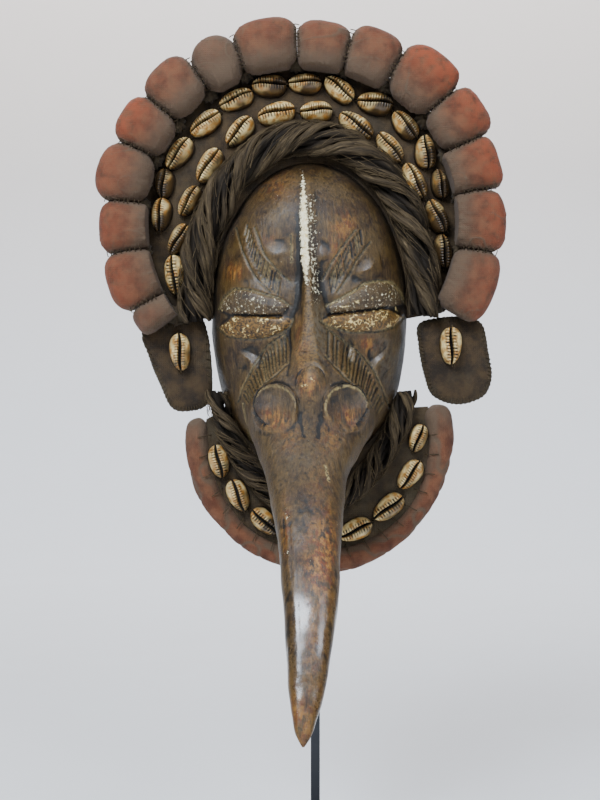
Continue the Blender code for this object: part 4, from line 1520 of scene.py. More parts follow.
@dataclass
class SoftShape:
    """A closed cloth shape before it is stuffed: its mesh, and how firmly each point is sewn down."""

    points: np.ndarray
    faces: np.ndarray
    held: np.ndarray


@dataclass(frozen=True)
class Stuffing:
    """Blows cloth shapes up from inside while their sewn edges hold them."""

    pressure: float = 4.0
    mass: float = 0.0012
    frames: int = 20
    extra_cloth: float = 0.03
    cap: float = 4.5 * MM

    def fill(self, shapes: list[SoftShape]) -> None:
        """Run the cloth once for all the shapes and move their points, each no further than its cap.

        Args:
            shapes: the shapes, whose points change in place.
        """
        mesh, owner = join_parts("stuffing", [(shape.points, shape.faces) for shape in shapes])
        body = bpy.data.objects.new("stuffing", mesh)
        bpy.context.scene.collection.objects.link(body)
        group = body.vertex_groups.new(name="sewn")
        held = np.round(np.concatenate([shape.held for shape in shapes]), 1)
        for level in np.unique(held[held > 0]):
            group.add(np.nonzero(held == level)[0].tolist(), float(level), "REPLACE")
        cloth = body.modifiers.new("cloth", "CLOTH")
        settings = cloth.settings
        settings.quality = 4
        settings.mass = self.mass
        settings.vertex_group_mass = "sewn"
        settings.tension_stiffness = settings.compression_stiffness = 6.0
        settings.shear_stiffness = 2.0
        settings.bending_stiffness = 0.02
        settings.shrink_min = -self.extra_cloth
        settings.use_pressure = True
        settings.uniform_pressure_force = self.pressure
        settings.effector_weights.gravity = 0.0
        cloth.collision_settings.use_collision = False
        scene = bpy.context.scene
        for frame in range(1, self.frames + 1):
            scene.frame_set(frame)
        evaluated = body.evaluated_get(bpy.context.evaluated_depsgraph_get())
        blown = coordinates(evaluated.data)
        bpy.data.objects.remove(body)
        scene.frame_set(1)
        for number, shape in enumerate(shapes):
            moved = blown[owner == number] - shape.points
            reach = np.linalg.norm(moved, axis=1)
            log.info("stuffing %d moved up to %.1f mm", number, reach.max() / MM)
            shape.points = shape.points + moved * np.minimum(1.0, self.cap / np.maximum(reach, 1e-9))[:, None]


@dataclass(frozen=True)
class Pad:
    """One stuffed pad: its place round the rim, its sizes in metres, and its look.

    Tint is how red the outer side is, dust is how grey, square is the power of its outline, and nip
    pulls one outer corner into a point.
    """

    angle: float
    middle: float
    radial: float
    along: float
    tint: float = 0.5
    dust: float = 0.3
    square: float = 4.5
    nip: tuple[float, float] | None = None


PADS = (
    Pad(211.5, 0.109, 0.033, 0.019, 0.2, 0.7, 3.4),
    Pad(199.2, 0.1135, 0.0365, 0.039, 0.55, 0.40, 3.2),
    Pad(181.2, 0.1130, 0.0350, 0.033, 0.55, 0.40, 3.8),
    Pad(164.7, 0.1180, 0.0365, 0.038, 0.55, 0.50, 2.9),
    Pad(148.2, 0.1175, 0.0370, 0.035, 0.95, 0.40, 3.1),
    Pad(133.9, 0.1185, 0.0365, 0.037, 0.4, 0.55, 3.0),
    Pad(117.3, 0.1155, 0.0360, 0.0335, 0.30, 0.90, 2.3),
    Pad(102.3, 0.1160, 0.0345, 0.043, 0.4, 0.55, 3.4),
    Pad(82.7, 0.1135, 0.0335, 0.0355, 0.4, 0.55, 3.4),
    Pad(67.4, 0.1155, 0.0370, 0.035, 0.35, 0.55, 3.4),
    Pad(48.6, 0.1200, 0.0410, 0.043, 1.1, 0.35, 3.0, (462.0, 73.0)),
    Pad(34.2, 0.1200, 0.0385, 0.036, 0.9, 0.38, 3.6),
    Pad(18.0, 0.1150, 0.0370, 0.032, 0.9, 0.38, 4.6),
    Pad(1.1, 0.1135, 0.0365, 0.037, 0.75, 0.45, 3.4, (497.0, 196.0)),
    Pad(-20.5, 0.1150, 0.0345, 0.042, 0.55, 0.55, 3.5),
)


@dataclass(frozen=True)
class Headdress:
    """The dark band with its stuffed pads."""

    pads: tuple[Pad, ...] = PADS
    gather_radius: float = 0.1048
    end_gather_radius: float = 0.1000
    gather_size: tuple[float, float, float] = (0.0058, 0.0068, 0.0062)

    def seams(self) -> list[float]:
        """Angles of the seams between the pads.

        Returns:
            One more angle than there are pads, falling.
        """
        first, last = self.pads[0], self.pads[-1]
        angles = [first.angle + math.degrees(first.along / 2 / first.middle)]
        for one, two in zip(self.pads, self.pads[1:]):
            share = one.along / (one.along + two.along)
            angles.append(one.angle + share * (two.angle - one.angle))
        return angles + [last.angle - math.degrees(last.along / 2 / last.middle)]

    def shape(self, number: int) -> SoftShape:
        """Shape one pad before stuffing: a rounded box whose outline is a power curve between its seams.

        Args:
            number: which pad, from 0.

        Returns:
            The shape, sewn down at its back and along its seams.
        """
        pad, seams = self.pads[number], self.seams()
        ball, faces = ball_of_quads(16)
        a, b = pad.square, 2.6
        level = (np.abs(ball[:, 0]) ** a + np.abs(ball[:, 2]) ** a) ** (b / a) + np.abs(ball[:, 1]) ** b
        out, deep, aside = (ball / (level ** (1.0 / b))[:, None]).T
        high, low = seams[number], seams[number + 1]
        radius = pad.middle + out * (pad.radial / 2 - 0.5 * MM)
        turn = (high + low) / 2 + aside * (high - low) / 2
        x, z = crest_point(turn, np.maximum(radius, PAD_INNER_RADIUS - 1.2 * MM))
        y = band_front(BAND_RADIUS) - PAD_DEPTH / 2 + 1.2 * MM + deep * (PAD_DEPTH / 2 - 1.0 * MM)
        points = np.stack([x, y, z], 1)
        held = np.maximum(smooth_step((deep - 0.35) / 0.3), smooth_step((np.abs(aside) - 0.93) / 0.05))
        shape = SoftShape(points, faces, held)
        shape.points = self.confine(points, number)
        return shape

    def confine(self, points: np.ndarray, number: int) -> np.ndarray:
        """Keep a pad's points between its seams and in front of the band.

        Args:
            points: rows of x, y and z.
            number: which pad, from 0.

        Returns:
            The points, moved back to the nearest allowed place.
        """
        seams = self.seams()
        radius, turn = crest_polar(points)
        radius = np.maximum(radius, PAD_INNER_RADIUS - 1.2 * MM)
        gap = np.degrees(0.06 * MM / radius)
        turn = np.clip(turn, seams[number + 1] + gap, seams[number] - gap)
        back = band_front(BAND_RADIUS) - 0.4 * MM + np.maximum(radius - PAD_STEP_RADIUS, 0.0) * 0.7
        x, z = crest_point(turn, radius)
        return np.stack([x, np.minimum(points[:, 1], back), z], 1)

    def build_pad(self, number: int, shape: SoftShape, finish: bpy.types.Material) -> None:
        """Finish a stuffed pad: a finer mesh, puckers at its seams, creases, tint, and soil with painted
        shade.

        Puckers are ridged noise, drawn out square to the seam and fading away from it.

        Args:
            number: which pad, from 0.
            shape: the stuffed shape.
            finish: the cotton.
        """
        pad, seams = self.pads[number], self.seams()
        mesh = modified(
            new_mesh("pad", self.confine(shape.points, number), shape.faces), "SUBSURF", levels=1,
            render_levels=1
        )
        points, facing = coordinates(mesh), normals(mesh)
        radius, turn = crest_polar(points)
        to_seam = (
            np.minimum(np.abs(turn - seams[number]), np.abs(turn - seams[number + 1])) * math.pi / 180
            * radius
        )
        own = np.stack([radius / (2.6 * MM), points[:, 1] / (2.6 * MM), to_seam / (9 * MM)], 1)
        pucker = np.abs(fractal(own, 1.0, 2, 500 + number)) * np.exp(-to_seam / (3.2 * MM))
        inner = np.exp(-np.maximum(radius - PAD_INNER_RADIUS, 0) / (5 * MM))
        gather = (
            np.abs(fractal(np.stack([turn * 0.9, radius / (12 * MM), points[:, 1] / (12 * MM)], 1), 1.0, 2,
                520 + number)) * inner
        )
        crease = 1.0 - np.abs(noise(points * (1.0, 1.0, 1.4), 0.017, 540 + number))
        crease = smooth_step((crease - 0.93) / 0.07) * smooth_step(noise(points, 0.02, 560 + number) + 0.3)
        rumple = fractal(points, 0.014, 3, 100 + number)
        shift = 0.55 * rumple - 2.1 * pucker - 1.5 * gather - 0.6 * crease
        points = points + facing * (shift * MM)[:, None]
        if pad.nip:
            nx, nz = VIEW.place(*pad.nip, -0.005)
            pull = np.exp(-(((points[:, 0] - nx) ** 2 + (points[:, 2] - nz) ** 2) / (9 * MM) ** 2))
            points[:, 0] += 0.45 * pull * (nx - points[:, 0])
            points[:, 2] += 0.45 * pull * (nz - points[:, 2])
        set_coordinates(mesh, self.confine(points, number))
        share = (radius - pad.middle) / (0.5 * pad.radial)
        set_attribute(mesh, "tint", np.clip(pad.tint * smooth_step(0.35 + 0.6 * share), 0, 1.2))
        # Soil and painted shade: darker on the inner side, at the seams and in the creases, puckers and
        # gathers.
        soil_and_shade = (
            pad.dust * 0.75 + 0.55 * smooth_step(0.1 - share) * 0.8 + 0.9 * np.exp(-to_seam / (1.6 * MM))
            + 0.4 * crease
        )
        set_attribute(mesh, "soil_and_shade", np.clip(soil_and_shade + 0.9 * pucker + 0.5 * gather, 0, 1.4))
        piece = add_piece(
            f"pad_{number + 1:02d}_cotton", mesh, finish, Slot.RED_CLOTH, f"stuffed_pad_{number + 1:02d}"
        )

    def build_gathers(self, finish: bpy.types.Material) -> None:
        """Make the bunched cloth that fills the inner corner at every seam.

        Each bunch is a flattened ball with folds that run round it.

        Args:
            finish: the cloth.
        """
        ball, faces = ball_of_quads(8)
        parts = []
        for number, degrees in enumerate(self.seams()):
            last = number in (0, len(self.pads))
            radius = self.end_gather_radius if last else self.gather_radius
            size = np.array(self.gather_size) * (1.2 if last else 1.0)
            folds = (
                1.0 + 0.16 * np.sin(9 * np.arctan2(ball[:, 2], ball[:, 0])
                    + 4 * noise(ball, 0.8, 600 + number))
            )
            local = ball * folds[:, None] * size
            x, z = crest_point(degrees, radius)
            turn = math.radians(degrees)
            px = x + local[:, 0] * math.cos(turn) - local[:, 2] * math.sin(turn)
            pz = z + local[:, 0] * math.sin(turn) + local[:, 2] * math.cos(turn)
            py = band_front(BAND_RADIUS) - 3.0 * MM + local[:, 1]
            parts.append((np.stack([px, py, pz], 1), faces))
        mesh, _ = join_parts("seam_gathers", parts)
        face_out(mesh)
        points = coordinates(mesh)
        set_attribute(mesh, "tint", np.zeros(len(points)))
        set_attribute(mesh, "soil_and_shade", 0.55 + 0.4 * fractal(points, 0.006, 3, 91))
        add_piece("seam_gathers_cloth", mesh, finish, Slot.DARK_CLOTH)

    def seam_stitches(self) -> list[tuple[np.ndarray, np.ndarray, np.ndarray]]:
        """Place stitches over every seam, at the front of the pads that meet there.

        Returns:
            Start, control point and end of each stitch.
        """
        found = [
            coordinates(bpy.data.objects[f"pad_{number + 1:02d}_cotton"].data)
            for number in range(len(self.pads))
        ]
        points = np.concatenate(found)
        radius, turn = crest_polar(points)
        rng = np.random.default_rng(44)
        arcs = []
        for degrees in self.seams()[1:-1]:
            for reach in np.arange(0.1045, 0.1285, 0.0031):
                reach = reach + rng.normal(0, 0.0004)
                near = (
                    (np.abs(turn - degrees) * math.pi / 180 * reach < 1.5 * MM)
                    & (np.abs(radius - reach) < 1.5 * MM)
                )
                if near.sum() < 4:
                    continue
                y = points[near, 1].min()
                half = math.degrees(1.7 * MM / reach)
                lean = rng.normal(0, 0.4 * MM)
                ends = [crest_point(degrees + side * half, reach + side * lean) for side in (-1, 0, 1)]
                lifts = (0.3 * MM, -1.3 * MM, 0.3 * MM)
                arcs.append(tuple(np.array([x, y + lift, z]) for (x, z), lift in zip(ends, lifts)))
        return arcs

    def build_band(self, finish: bpy.types.Material) -> None:
        """Make the crescent of dark cloth: a wrinkled strip from the mask's rim to under the pads.

        Args:
            finish: the cloth.
        """
        steps, across = 260, 40
        t = np.linspace(0.0, 1.0, steps)
        at_rim = np.radians(BAND_RIM_ENDS[0] + t * (BAND_RIM_ENDS[1] - BAND_RIM_ENDS[0]))
        power = np.where(np.sin(at_rim) >= 0, 2.0 / BROW_POWER, 2.0 / JAW_POWER)
        rise = np.where(np.sin(at_rim) >= 0, FOREHEAD_RISE, CHIN_DROP)
        inner_x = FACE_X + signed_power(np.cos(at_rim), power) * FACE_HALF_WIDTH * 0.955
        inner_z = FACE_Z + signed_power(np.sin(at_rim), power) * rise * 0.955
        outer_x, outer_z = crest_point(
            BAND_ENDS[0] + t * (BAND_ENDS[1] - BAND_ENDS[0]), BAND_RADIUS + 4.5 * MM
        )
        s = np.linspace(0.0, 1.0, across)[None, :]
        x = inner_x[:, None] * (1 - s) + outer_x[:, None] * s
        z = inner_z[:, None] * (1 - s) + outer_z[:, None] * s
        y = band_front(np.hypot(x - CREST_X, z - CREST_Z))
        front = np.stack([x, y, z], -1)
        flat = front.reshape(-1, 3)
        crease = smooth_step(1.0 - 3.2 * np.abs(noise(flat, 0.017, 58)))
        front[..., 1] -= (1.6 * fractal(flat, 0.013, 4, 55) - 0.7 * crease).reshape(x.shape) * MM * 0.8
        back = front[:, ::-1].copy()
        back[..., 1] = y[:, ::-1] + BAND_THICKNESS
        rings = np.concatenate([front, back], axis=1)
        middle = np.repeat(rings.mean(axis=1)[[0, -1]][:, None], 2 * across, axis=1)
        points = np.concatenate([middle[0], rings.reshape(-1, 3), middle[1]])
        mesh = new_mesh("headdress_band_cloth", points, grid_faces(steps + 2, 2 * across, True))
        face_out(mesh)
        set_attribute(mesh, "tint", np.zeros(len(points)))
        set_attribute(mesh, "soil_and_shade", 0.4 + 0.3 * fractal(points, 0.02, 3, 9))
        add_piece("headdress_band_cloth", mesh, finish, Slot.DARK_CLOTH, "headdress_band")


# Rope


@dataclass(frozen=True)
class Rope:
    """Strands laid round each other along a route; each strand is a bundle of matted yarns."""

    name: str
    node: str
    radius: float
    strands: int
    yarns: int
    turns: float
    yarn_turns: float
    loose: int
    seed: int
    steps: int = 220
    sides: int = 9

    def build(self, route: np.ndarray, finish: bpy.types.Material) -> None:
        """Sweep every yarn round its strand's middle, which goes round the route, and add loose fibres.

        A loose fibre follows its strand's turn for a short way and lifts off towards its end.

        Args:
            route: rows of x, y and z.
            finish: the fibre.
        """
        lengths = np.concatenate([[0.0], np.cumsum(np.linalg.norm(np.diff(route, axis=0), axis=1))])
        t = np.linspace(0.0, 1.0, self.steps)
        line = np.stack([np.interp(t * lengths[-1], lengths, route[:, k]) for k in range(3)], 1)
        along = np.gradient(line, axis=0)
        along /= np.linalg.norm(along, axis=1)[:, None]
        side = np.cross(along, (0.0, -1.0, 0.0))
        side /= np.linalg.norm(side, axis=1)[:, None]
        up = np.cross(side, along)
        rng = np.random.default_rng(self.seed)
        strand_radius = self.radius * 0.52
        parts, around, far, number, bleach = [], [], [], [], []

        def keep(path: np.ndarray, radii: np.ndarray, sides: int, shares: np.ndarray, pale: float) -> None:
            """Sweep one yarn or fibre and remember how its surface runs.

            Args:
                path: its middle line.
                radii: its radius at each row.
                sides: points in a ring.
                shares: how far along the rope each row is.
                pale: how bleached it is.
            """
            swept = tube(path, radii, sides)
            parts.append(swept)
            around.append(np.tile(np.arange(sides) * 11.0 / sides, len(path) + 2))
            far.append(np.repeat(np.concatenate([shares[:1], shares, shares[-1:]]), sides))
            number.append(np.full(len(swept[0]), len(parts)))
            bleach.append(np.full(len(swept[0]), pale))

        for strand in range(self.strands):
            phase = (
                2 * math.pi * strand / self.strands + 0.35 * np.sin(2 * math.pi * (1.3 * t + rng.random()))
            )
            turn = phase + 2 * math.pi * self.turns * t
            out = self.radius * 0.50 * (1 + 0.10 * np.sin(2 * math.pi * (4.3 * t + rng.random())))
            middle = line + out[:, None] * (np.cos(turn)[:, None] * side + np.sin(turn)[:, None] * up)
            for yarn in range(self.yarns):
                own = 2 * math.pi * (yarn / self.yarns + self.yarn_turns * t + rng.random() * 0.2)
                own += 0.5 * np.sin(2 * math.pi * (3.1 * t + rng.random()))
                reach = strand_radius * (0.66 + 0.16 * np.sin(2 * math.pi * (5.1 * t + rng.random())))
                path = middle + reach[:, None] * (np.cos(own)[:, None] * side + np.sin(own)[:, None] * up)
                ends = np.minimum(1.0, 0.4 + 18 * np.minimum(t, 1 - t))
                swell = 1.0 + 0.30 * np.sin(2 * math.pi * (9 * t + rng.random())) + 0.12 * rng.normal()
                radii = strand_radius * (0.30 + 0.09 * rng.random()) * ends * swell
                spots = np.broadcast_arrays(
                    np.arange(self.sides)[None, :] * 1.0, t[:, None] * 60, yarn + 9.0 * strand
                )
                ridges = noise(np.stack(spots, -1).reshape(-1, 3), 1.0, self.seed)
                keep(
                    path, radii[:, None] * (1 + 0.20 * ridges.reshape(self.steps, self.sides)), self.sides,
                    t, 0.25 * rng.random()
                )
        for _ in range(self.loose):
            length = int(rng.integers(8, 22))
            first = int(rng.integers(0, self.steps - length))
            span = slice(first, first + length)
            rise = np.linspace(0, 1, length)
            strand = int(rng.integers(0, self.strands))
            turn = (
                2 * math.pi * (strand / self.strands + self.turns * t[span]) + rng.normal(0, 0.5)
                + rng.normal(0, 0.5) * rise
            )
            lift = self.radius * (0.98 + 0.03 * rng.normal()) + rise**2 * abs(rng.normal(0, 1.1 * MM))
            path = (
                line[span] + lift[:, None]
                * (np.cos(turn)[:, None] * side[span] + np.sin(turn)[:, None] * up[span])
            )
            keep(
                path, (0.16 + 0.22 * rng.random()) * MM * (1.05 - rise), 4, t[span],
                0.3 + 0.7 * rng.random()
            )
        mesh, _ = join_parts(self.name, parts)
        points = coordinates(mesh)
        set_attribute(mesh, "around", np.concatenate(around) * 1.3)
        set_attribute(mesh, "along", np.concatenate(far) * lengths[-1] / 0.010)
        set_attribute(mesh, "strand", np.concatenate(number) * 3.7)
        set_attribute(mesh, "bleach", np.concatenate(bleach))
        share = np.concatenate(far)
        core = points - np.stack([np.interp(share, t, line[:, k]) for k in range(3)], 1)
        # Painted shade: darker towards the rope's core, between the yarns.
        set_attribute(
            mesh, "grime_and_shade", 1.0 - smooth_step((np.linalg.norm(core, axis=1) / self.radius - 0.62) / 0.34)
        )
        face_out(mesh)
        add_piece(self.name, mesh, finish, Slot.FIBRE, self.node)


@dataclass(frozen=True)
class Sewing:
    """Stitches: short arcs of thread, each from one hole over the cloth to the next."""

    name: str
    radius: float = 0.32 * MM

    def build(
        self, arcs: list[tuple[np.ndarray, np.ndarray, np.ndarray]], finish: bpy.types.Material, pale: float
    ) -> None:
        """Sweep each stitch along the curve through its two ends, drawn towards its middle control point.

        Args:
            arcs: start, control point and end of each stitch.
            finish: the thread.
            pale: how bleached it is.
        """
        s = np.linspace(0.0, 1.0, 8)[:, None]
        parts = [
            tube((1 - s) ** 2 * a + 2 * s * (1 - s) * b + s**2 * c, np.full(8, self.radius), 5) for a, b,
            c in arcs
        ]
        mesh, owner = join_parts(self.name, parts)
        count = len(owner)
        set_attribute(mesh, "around", np.tile(np.arange(5) * 2.0, count // 5))
        set_attribute(mesh, "along", np.tile(np.repeat(np.arange(10), 5), len(arcs)) * 0.3)
        set_attribute(mesh, "strand", owner * 1.7)
        set_attribute(mesh, "bleach", np.full(count, pale))
        set_attribute(mesh, "grime_and_shade", np.zeros(count))
        face_out(mesh)
        add_piece(self.name, mesh, finish, Slot.FIBRE)


def brow_route() -> np.ndarray:
    """The brow rope's middle line, resting on the band's slope.

    Returns:
        Rows of x, y and z.
    """
    radius, rope_ends = 0.0098, (188.0, -6.0)
    angle = np.radians(np.linspace(*rope_ends, 90))
    x = FACE_X + (FACE_HALF_WIDTH + 0.0095) * np.cos(angle)
    z = FACE_Z + (FOREHEAD_RISE + 0.011) * np.sin(angle)
    lift = radius * math.hypot(1.0, BAND_SLOPE) + 0.6 * MM
    y = band_front(np.hypot(x - CREST_X, z - CREST_Z)) - lift
    return np.stack([x, y, z], 1)


def chin_route() -> np.ndarray:
    """The middle line of the fibre strip under the jaw.

    Returns:
        Rows of x, y and z.
    """
    middle_x, middle_z, half_width, drop, power = -0.003, 0.3035, 0.0610, 0.078, 2 / 1.5
    angle = np.radians(np.linspace(176.0, 364.0, 90))
    x = middle_x + half_width * signed_power(np.cos(angle), power)
    z = middle_z + drop * signed_power(np.sin(angle), power)
    return np.stack([x, np.full(90, RIM_Y - COLLAR_FORWARD - 0.0075), z], 1)


# Cowries


@dataclass(frozen=True)
class Cowrie:
    """One shell: where it is sewn, which way its slit runs, its size, and its age from 0 to 1."""

    name: str
    node: str
    place: tuple[float, float, float]
    lean: tuple[float, float]
    direction: float
    length: float
    width: float
    age: float
    seed: int

    def build(self, finish: bpy.types.Material) -> None:
        """Lay a grid over the shell: columns along the slit, rows across, both lips toothed.

        Args:
            finish: the shell.
        """
        columns, rows = 64, 31
        rng = np.random.default_rng(self.seed)
        curl = 1 if self.seed % 2 else -1
        along = np.sin(np.linspace(-0.5, 0.5, columns) * math.pi)[:, None] * np.ones((1, rows))
        across = np.linspace(-1.0, 1.0, rows)
        across = (
            (np.sign(across) * (0.72 * np.abs(across) + 0.28 * np.abs(across) ** 3))[None, :]
            * np.ones((columns, 1))
        )
        half = (1.0 - np.abs(along) ** 2.3) ** (1 / 2.2) * (1.0 + 0.14 * along)
        height = np.clip(1.0 - np.abs(across) ** 2.8, 0.0, 1.0) ** 0.5 * (1.0 - 0.32 * np.abs(along) ** 2.4)
        slit, lip, teeth = self.mouth(along, across * half, curl)
        height = height * (1.0 - 0.62 * slit) + 0.10 * lip - 0.13 * lip * teeth
        height[[0, -1], :] = 0.0
        height[:, [0, -1]] = 0.0
        tall = 0.0092 * (0.92 + 0.12 * rng.random())
        a = along * self.length / 2
        c = across * half * self.width / 2
        heading = math.radians(self.direction)
        normal = np.array([self.lean[0], -1.0, self.lean[1]])
        normal /= np.linalg.norm(normal)
        long_axis = np.array([math.cos(heading), 0.0, math.sin(heading)])
        long_axis -= normal * (long_axis @ normal)
        long_axis /= np.linalg.norm(long_axis)
        side_axis = np.cross(normal, long_axis)
        origin = np.array(self.place) + normal * 0.45 * MM
        top = (
            origin + a[..., None] * long_axis + c[..., None] * side_axis
            + (height * tall)[..., None] * normal
        )
        base = top[:, [0, -1]]
        points = np.concatenate([top.reshape(-1, 3), base.reshape(-1, 3)])
        faces = np.concatenate(
            [grid_faces(columns, rows, False), grid_faces(columns, 2, False)[:, ::-1] + columns * rows]
        )
        mesh = new_mesh(self.name, points, faces)
        bm = bmesh.new()
        bm.from_mesh(mesh)
        bmesh.ops.remove_doubles(bm, verts=bm.verts, dist=0.00002)
        bmesh.ops.recalc_face_normals(bm, faces=bm.faces)
        bm.to_mesh(mesh)
        bm.free()
        places = coordinates(mesh)
        offset = places - origin
        u = offset @ long_axis / (self.length / 2)
        v = offset @ side_axis / (self.width / 2)
        slit, lip, teeth = self.mouth(u, v, curl)
        # Dirt and painted shade: darker low on the shell, towards its base.
        low = 1.0 - smooth_step((offset @ normal) / (0.55 * tall))
        set_attribute(mesh, "slit", np.clip(1.3 * slit + 1.1 * lip * teeth + 0.7 * low, 0, 1))
        # Painted shade on the lower right side, away from the key light.
        shaded = smooth_step((offset @ np.array([0.75, 0.0, -0.65])) / (0.30 * self.width) + 0.2)
        patches = 0.35 * fractal(places, 0.006, 2, self.seed)
        set_attribute(
            mesh, "age", np.clip(self.age + 0.40 * shaded * (0.5 + self.age) + patches + 0.4 * low, 0, 1)
        )
        add_piece(self.name, mesh, finish, Slot.SHELL, self.node)

    def threads(self) -> list[tuple[np.ndarray, np.ndarray, np.ndarray]]:
        """Place the stitches that hold the shell at its two ends.

        Returns:
            Start, control point and end of each stitch.
        """
        rng = np.random.default_rng(self.seed + 900)
        heading = math.radians(self.direction)
        along = np.array([math.cos(heading), 0.0, math.sin(heading)])
        across = np.array([-math.sin(heading), 0.0, math.cos(heading)])
        normal = np.array([self.lean[0], -1.0, self.lean[1]])
        arcs = []
        for end in (-1, 1):
            for _ in range(2):
                slip = across * rng.normal(0, 0.9 * MM)
                start = (
                    np.array(self.place) + end * along * (self.length / 2 - 1.6 * MM) + slip
                    + normal * 2.8 * MM
                )
                stop = (
                    np.array(self.place) + end * along * (self.length / 2 + 1.6 * MM) + slip * 1.6
                    + normal * 0.3 * MM
                )
                arcs.append((start, (start + stop) / 2 + normal * 1.0 * MM, stop))
        return arcs

    def mouth(
        self, along: np.ndarray, across: np.ndarray, curl: int
    ) -> tuple[np.ndarray, np.ndarray, np.ndarray]:
        """Measure the shell's slit, the lips beside it and the gaps between their teeth.

        The slit follows a sine along the shell. Each lip is a bell beside it, and the teeth are a
        cosine along the shell, shifted a little from lip to lip.

        Args:
            along: -1 to 1 along the shell.
            across: -1 to 1 across it.
            curl: 1 or -1, the way the slit bends.

        Returns:
            How much each place lies in the slit, on a lip and in a gap between teeth.
        """
        place = across - 0.11 * np.sin(along * 2.4) * curl
        wide = 0.15 * (1.0 - 0.45 * along**2)
        slit = np.exp(-((place / wide) ** 4))
        lip = np.exp(-(((np.abs(place) - 0.33) / 0.19) ** 4)) * np.clip(1.0 - np.abs(along) ** 4, 0, 1)
        count = 12 + self.seed % 3
        teeth = smooth_step((np.cos(along * math.pi * count + 0.8 * np.sign(place)) + 0.1) / 0.7)
        return slit, lip, teeth


CREST_COWRIES = (
    (201.6, 0.0880, 93, 0.0255, 0.0140, 0.3), (187.0, 0.0795, 60, 0.0215, 0.0130, 0.6),
    (176.0, 0.0910, 82, 0.0215, 0.0135, 0.6), (163.5, 0.0925, 88, 0.0190, 0.0130, 0.75),
    (150.0, 0.0915, 52, 0.0235, 0.0145, 0.35), (133.7, 0.0900, 38, 0.0230, 0.0140, 0.25),
    (117.7, 0.0910, 20, 0.0230, 0.0135, 0.3), (103.2, 0.0920, 2, 0.0225, 0.0150, 0.65),
    (88.7, 0.0910, -2, 0.0215, 0.0140, 0.45), (74.6, 0.0905, -38, 0.0225, 0.0140, 0.2),
    (59.0, 0.0915, -8, 0.0230, 0.0155, 0.45), (44.0, 0.0925, -48, 0.0215, 0.0140, 0.5),
    (30.3, 0.0925, -88, 0.0220, 0.0145, 0.45), (16.4, 0.0930, -78, 0.0190, 0.0115, 0.75),
    (3.6, 0.0870, -66, 0.0225, 0.0140, 0.7), (-10.6, 0.0925, -80, 0.0220, 0.0130, 0.75),
    (168.5, 0.0735, 57, 0.0215, 0.0125, 0.5), (148.0, 0.0700, 60, 0.0245, 0.0150, 0.4),
    (124.0, 0.0715, 48, 0.0230, 0.0140, 0.2), (103.0, 0.0725, 15, 0.0245, 0.0155, 0.05),
    (82.7, 0.0725, 0, 0.0210, 0.0150, 0.3), (61.3, 0.0720, -35, 0.0250, 0.0150, 0.4),
    (41.0, 0.0745, -54, 0.0230, 0.0140, 0.35), (21.0, 0.0775, -61, 0.0250, 0.0135, 0.35),
)
COLLAR_COWRIES = (
    (192.0, 0.0662, 100, 0.0215, 0.0140, 0.3), (214.5, 0.0635, 114, 0.0215, 0.0140, 0.35),
    (236.5, 0.0635, 134, 0.0215, 0.0140, 0.5), (1.0, 0.0645, 72, 0.0185, 0.0120, 0.4),
    (-20.8, 0.0635, 52, 0.0215, 0.0135, 0.3), (-44.0, 0.0630, 40, 0.0230, 0.0145, 0.3),
    (-68.0, 0.0630, 22, 0.0230, 0.0145, 0.3), (268.0, 0.0630, -3, 0.0220, 0.0145, 0.4),
)
FLAP_COWRIES = (
    ("left", -0.0875, 0.3310, 96, 0.0240, 0.0140, 0.25),
    ("right", 0.0872, 0.3350, 88, 0.0240, 0.0145, 0.1),
)
FLAP_FORWARD = 0.0074
FLAP_THICKNESS = 0.012


def all_cowries() -> list[Cowrie]:
    """List every shell with its place on the cloth.

    Returns:
        The shells.
    """
    shells = []
    for number, (angle, radius, direction, length, width, age) in enumerate(CREST_COWRIES, 1):
        x, z = crest_point(angle, radius)
        turn = math.radians(angle)
        lean = (BAND_SLOPE * math.cos(turn), BAND_SLOPE * math.sin(turn))
        name = f"crest_cowrie_{number:02d}"
        place = (float(x), float(band_front(radius)), float(z))
        shells.append(Cowrie(name + "_shell", name, place, lean, direction, length, width, age, 200 + number))
    for number, (angle, radius, direction, length, width, age) in enumerate(COLLAR_COWRIES, 1):
        turn = math.radians(angle)
        place = (
            COLLAR_X + radius * math.cos(turn), RIM_Y - COLLAR_FORWARD, COLLAR_Z + radius * math.sin(turn)
        )
        name = f"collar_cowrie_{number}"
        shells.append(
            Cowrie(name + "_shell", name, place, (0.0, 0.0), direction, length, width, age, 300 + number)
        )
    for side, x, z, direction, length, width, age in FLAP_COWRIES:
        place = (x, RIM_Y - FLAP_FORWARD - FLAP_THICKNESS, z)
        name = f"flap_cowrie_{side}"
        shells.append(
            Cowrie(name + "_shell", name, place, (0.0, 0.0), direction, length, width, age, 400 + len(side))
        )
    return shells


# Ear flaps and collar


def closed_curve(corners: np.ndarray, count: int) -> np.ndarray:
    """A smooth closed curve through corners, by Catmull-Rom pieces.

    Args:
        corners: rows of two coordinates.
        count: points on the curve.

    Returns:
        Rows of two coordinates.
    """
    n = len(corners)
    s = np.arange(count) * n / count
    k = s.astype(int)
    t = (s - k)[:, None]
    p0, p1, p2, p3 = (corners[(k + j) % n] for j in (-1, 0, 1, 2))
    return (
        0.5 * (2 * p1 + (p2 - p0) * t + (2 * p0 - 5 * p1 + 4 * p2 - p3) * t**2
            + (3 * p1 - p0 - 3 * p2 + p3) * t**3)
    )


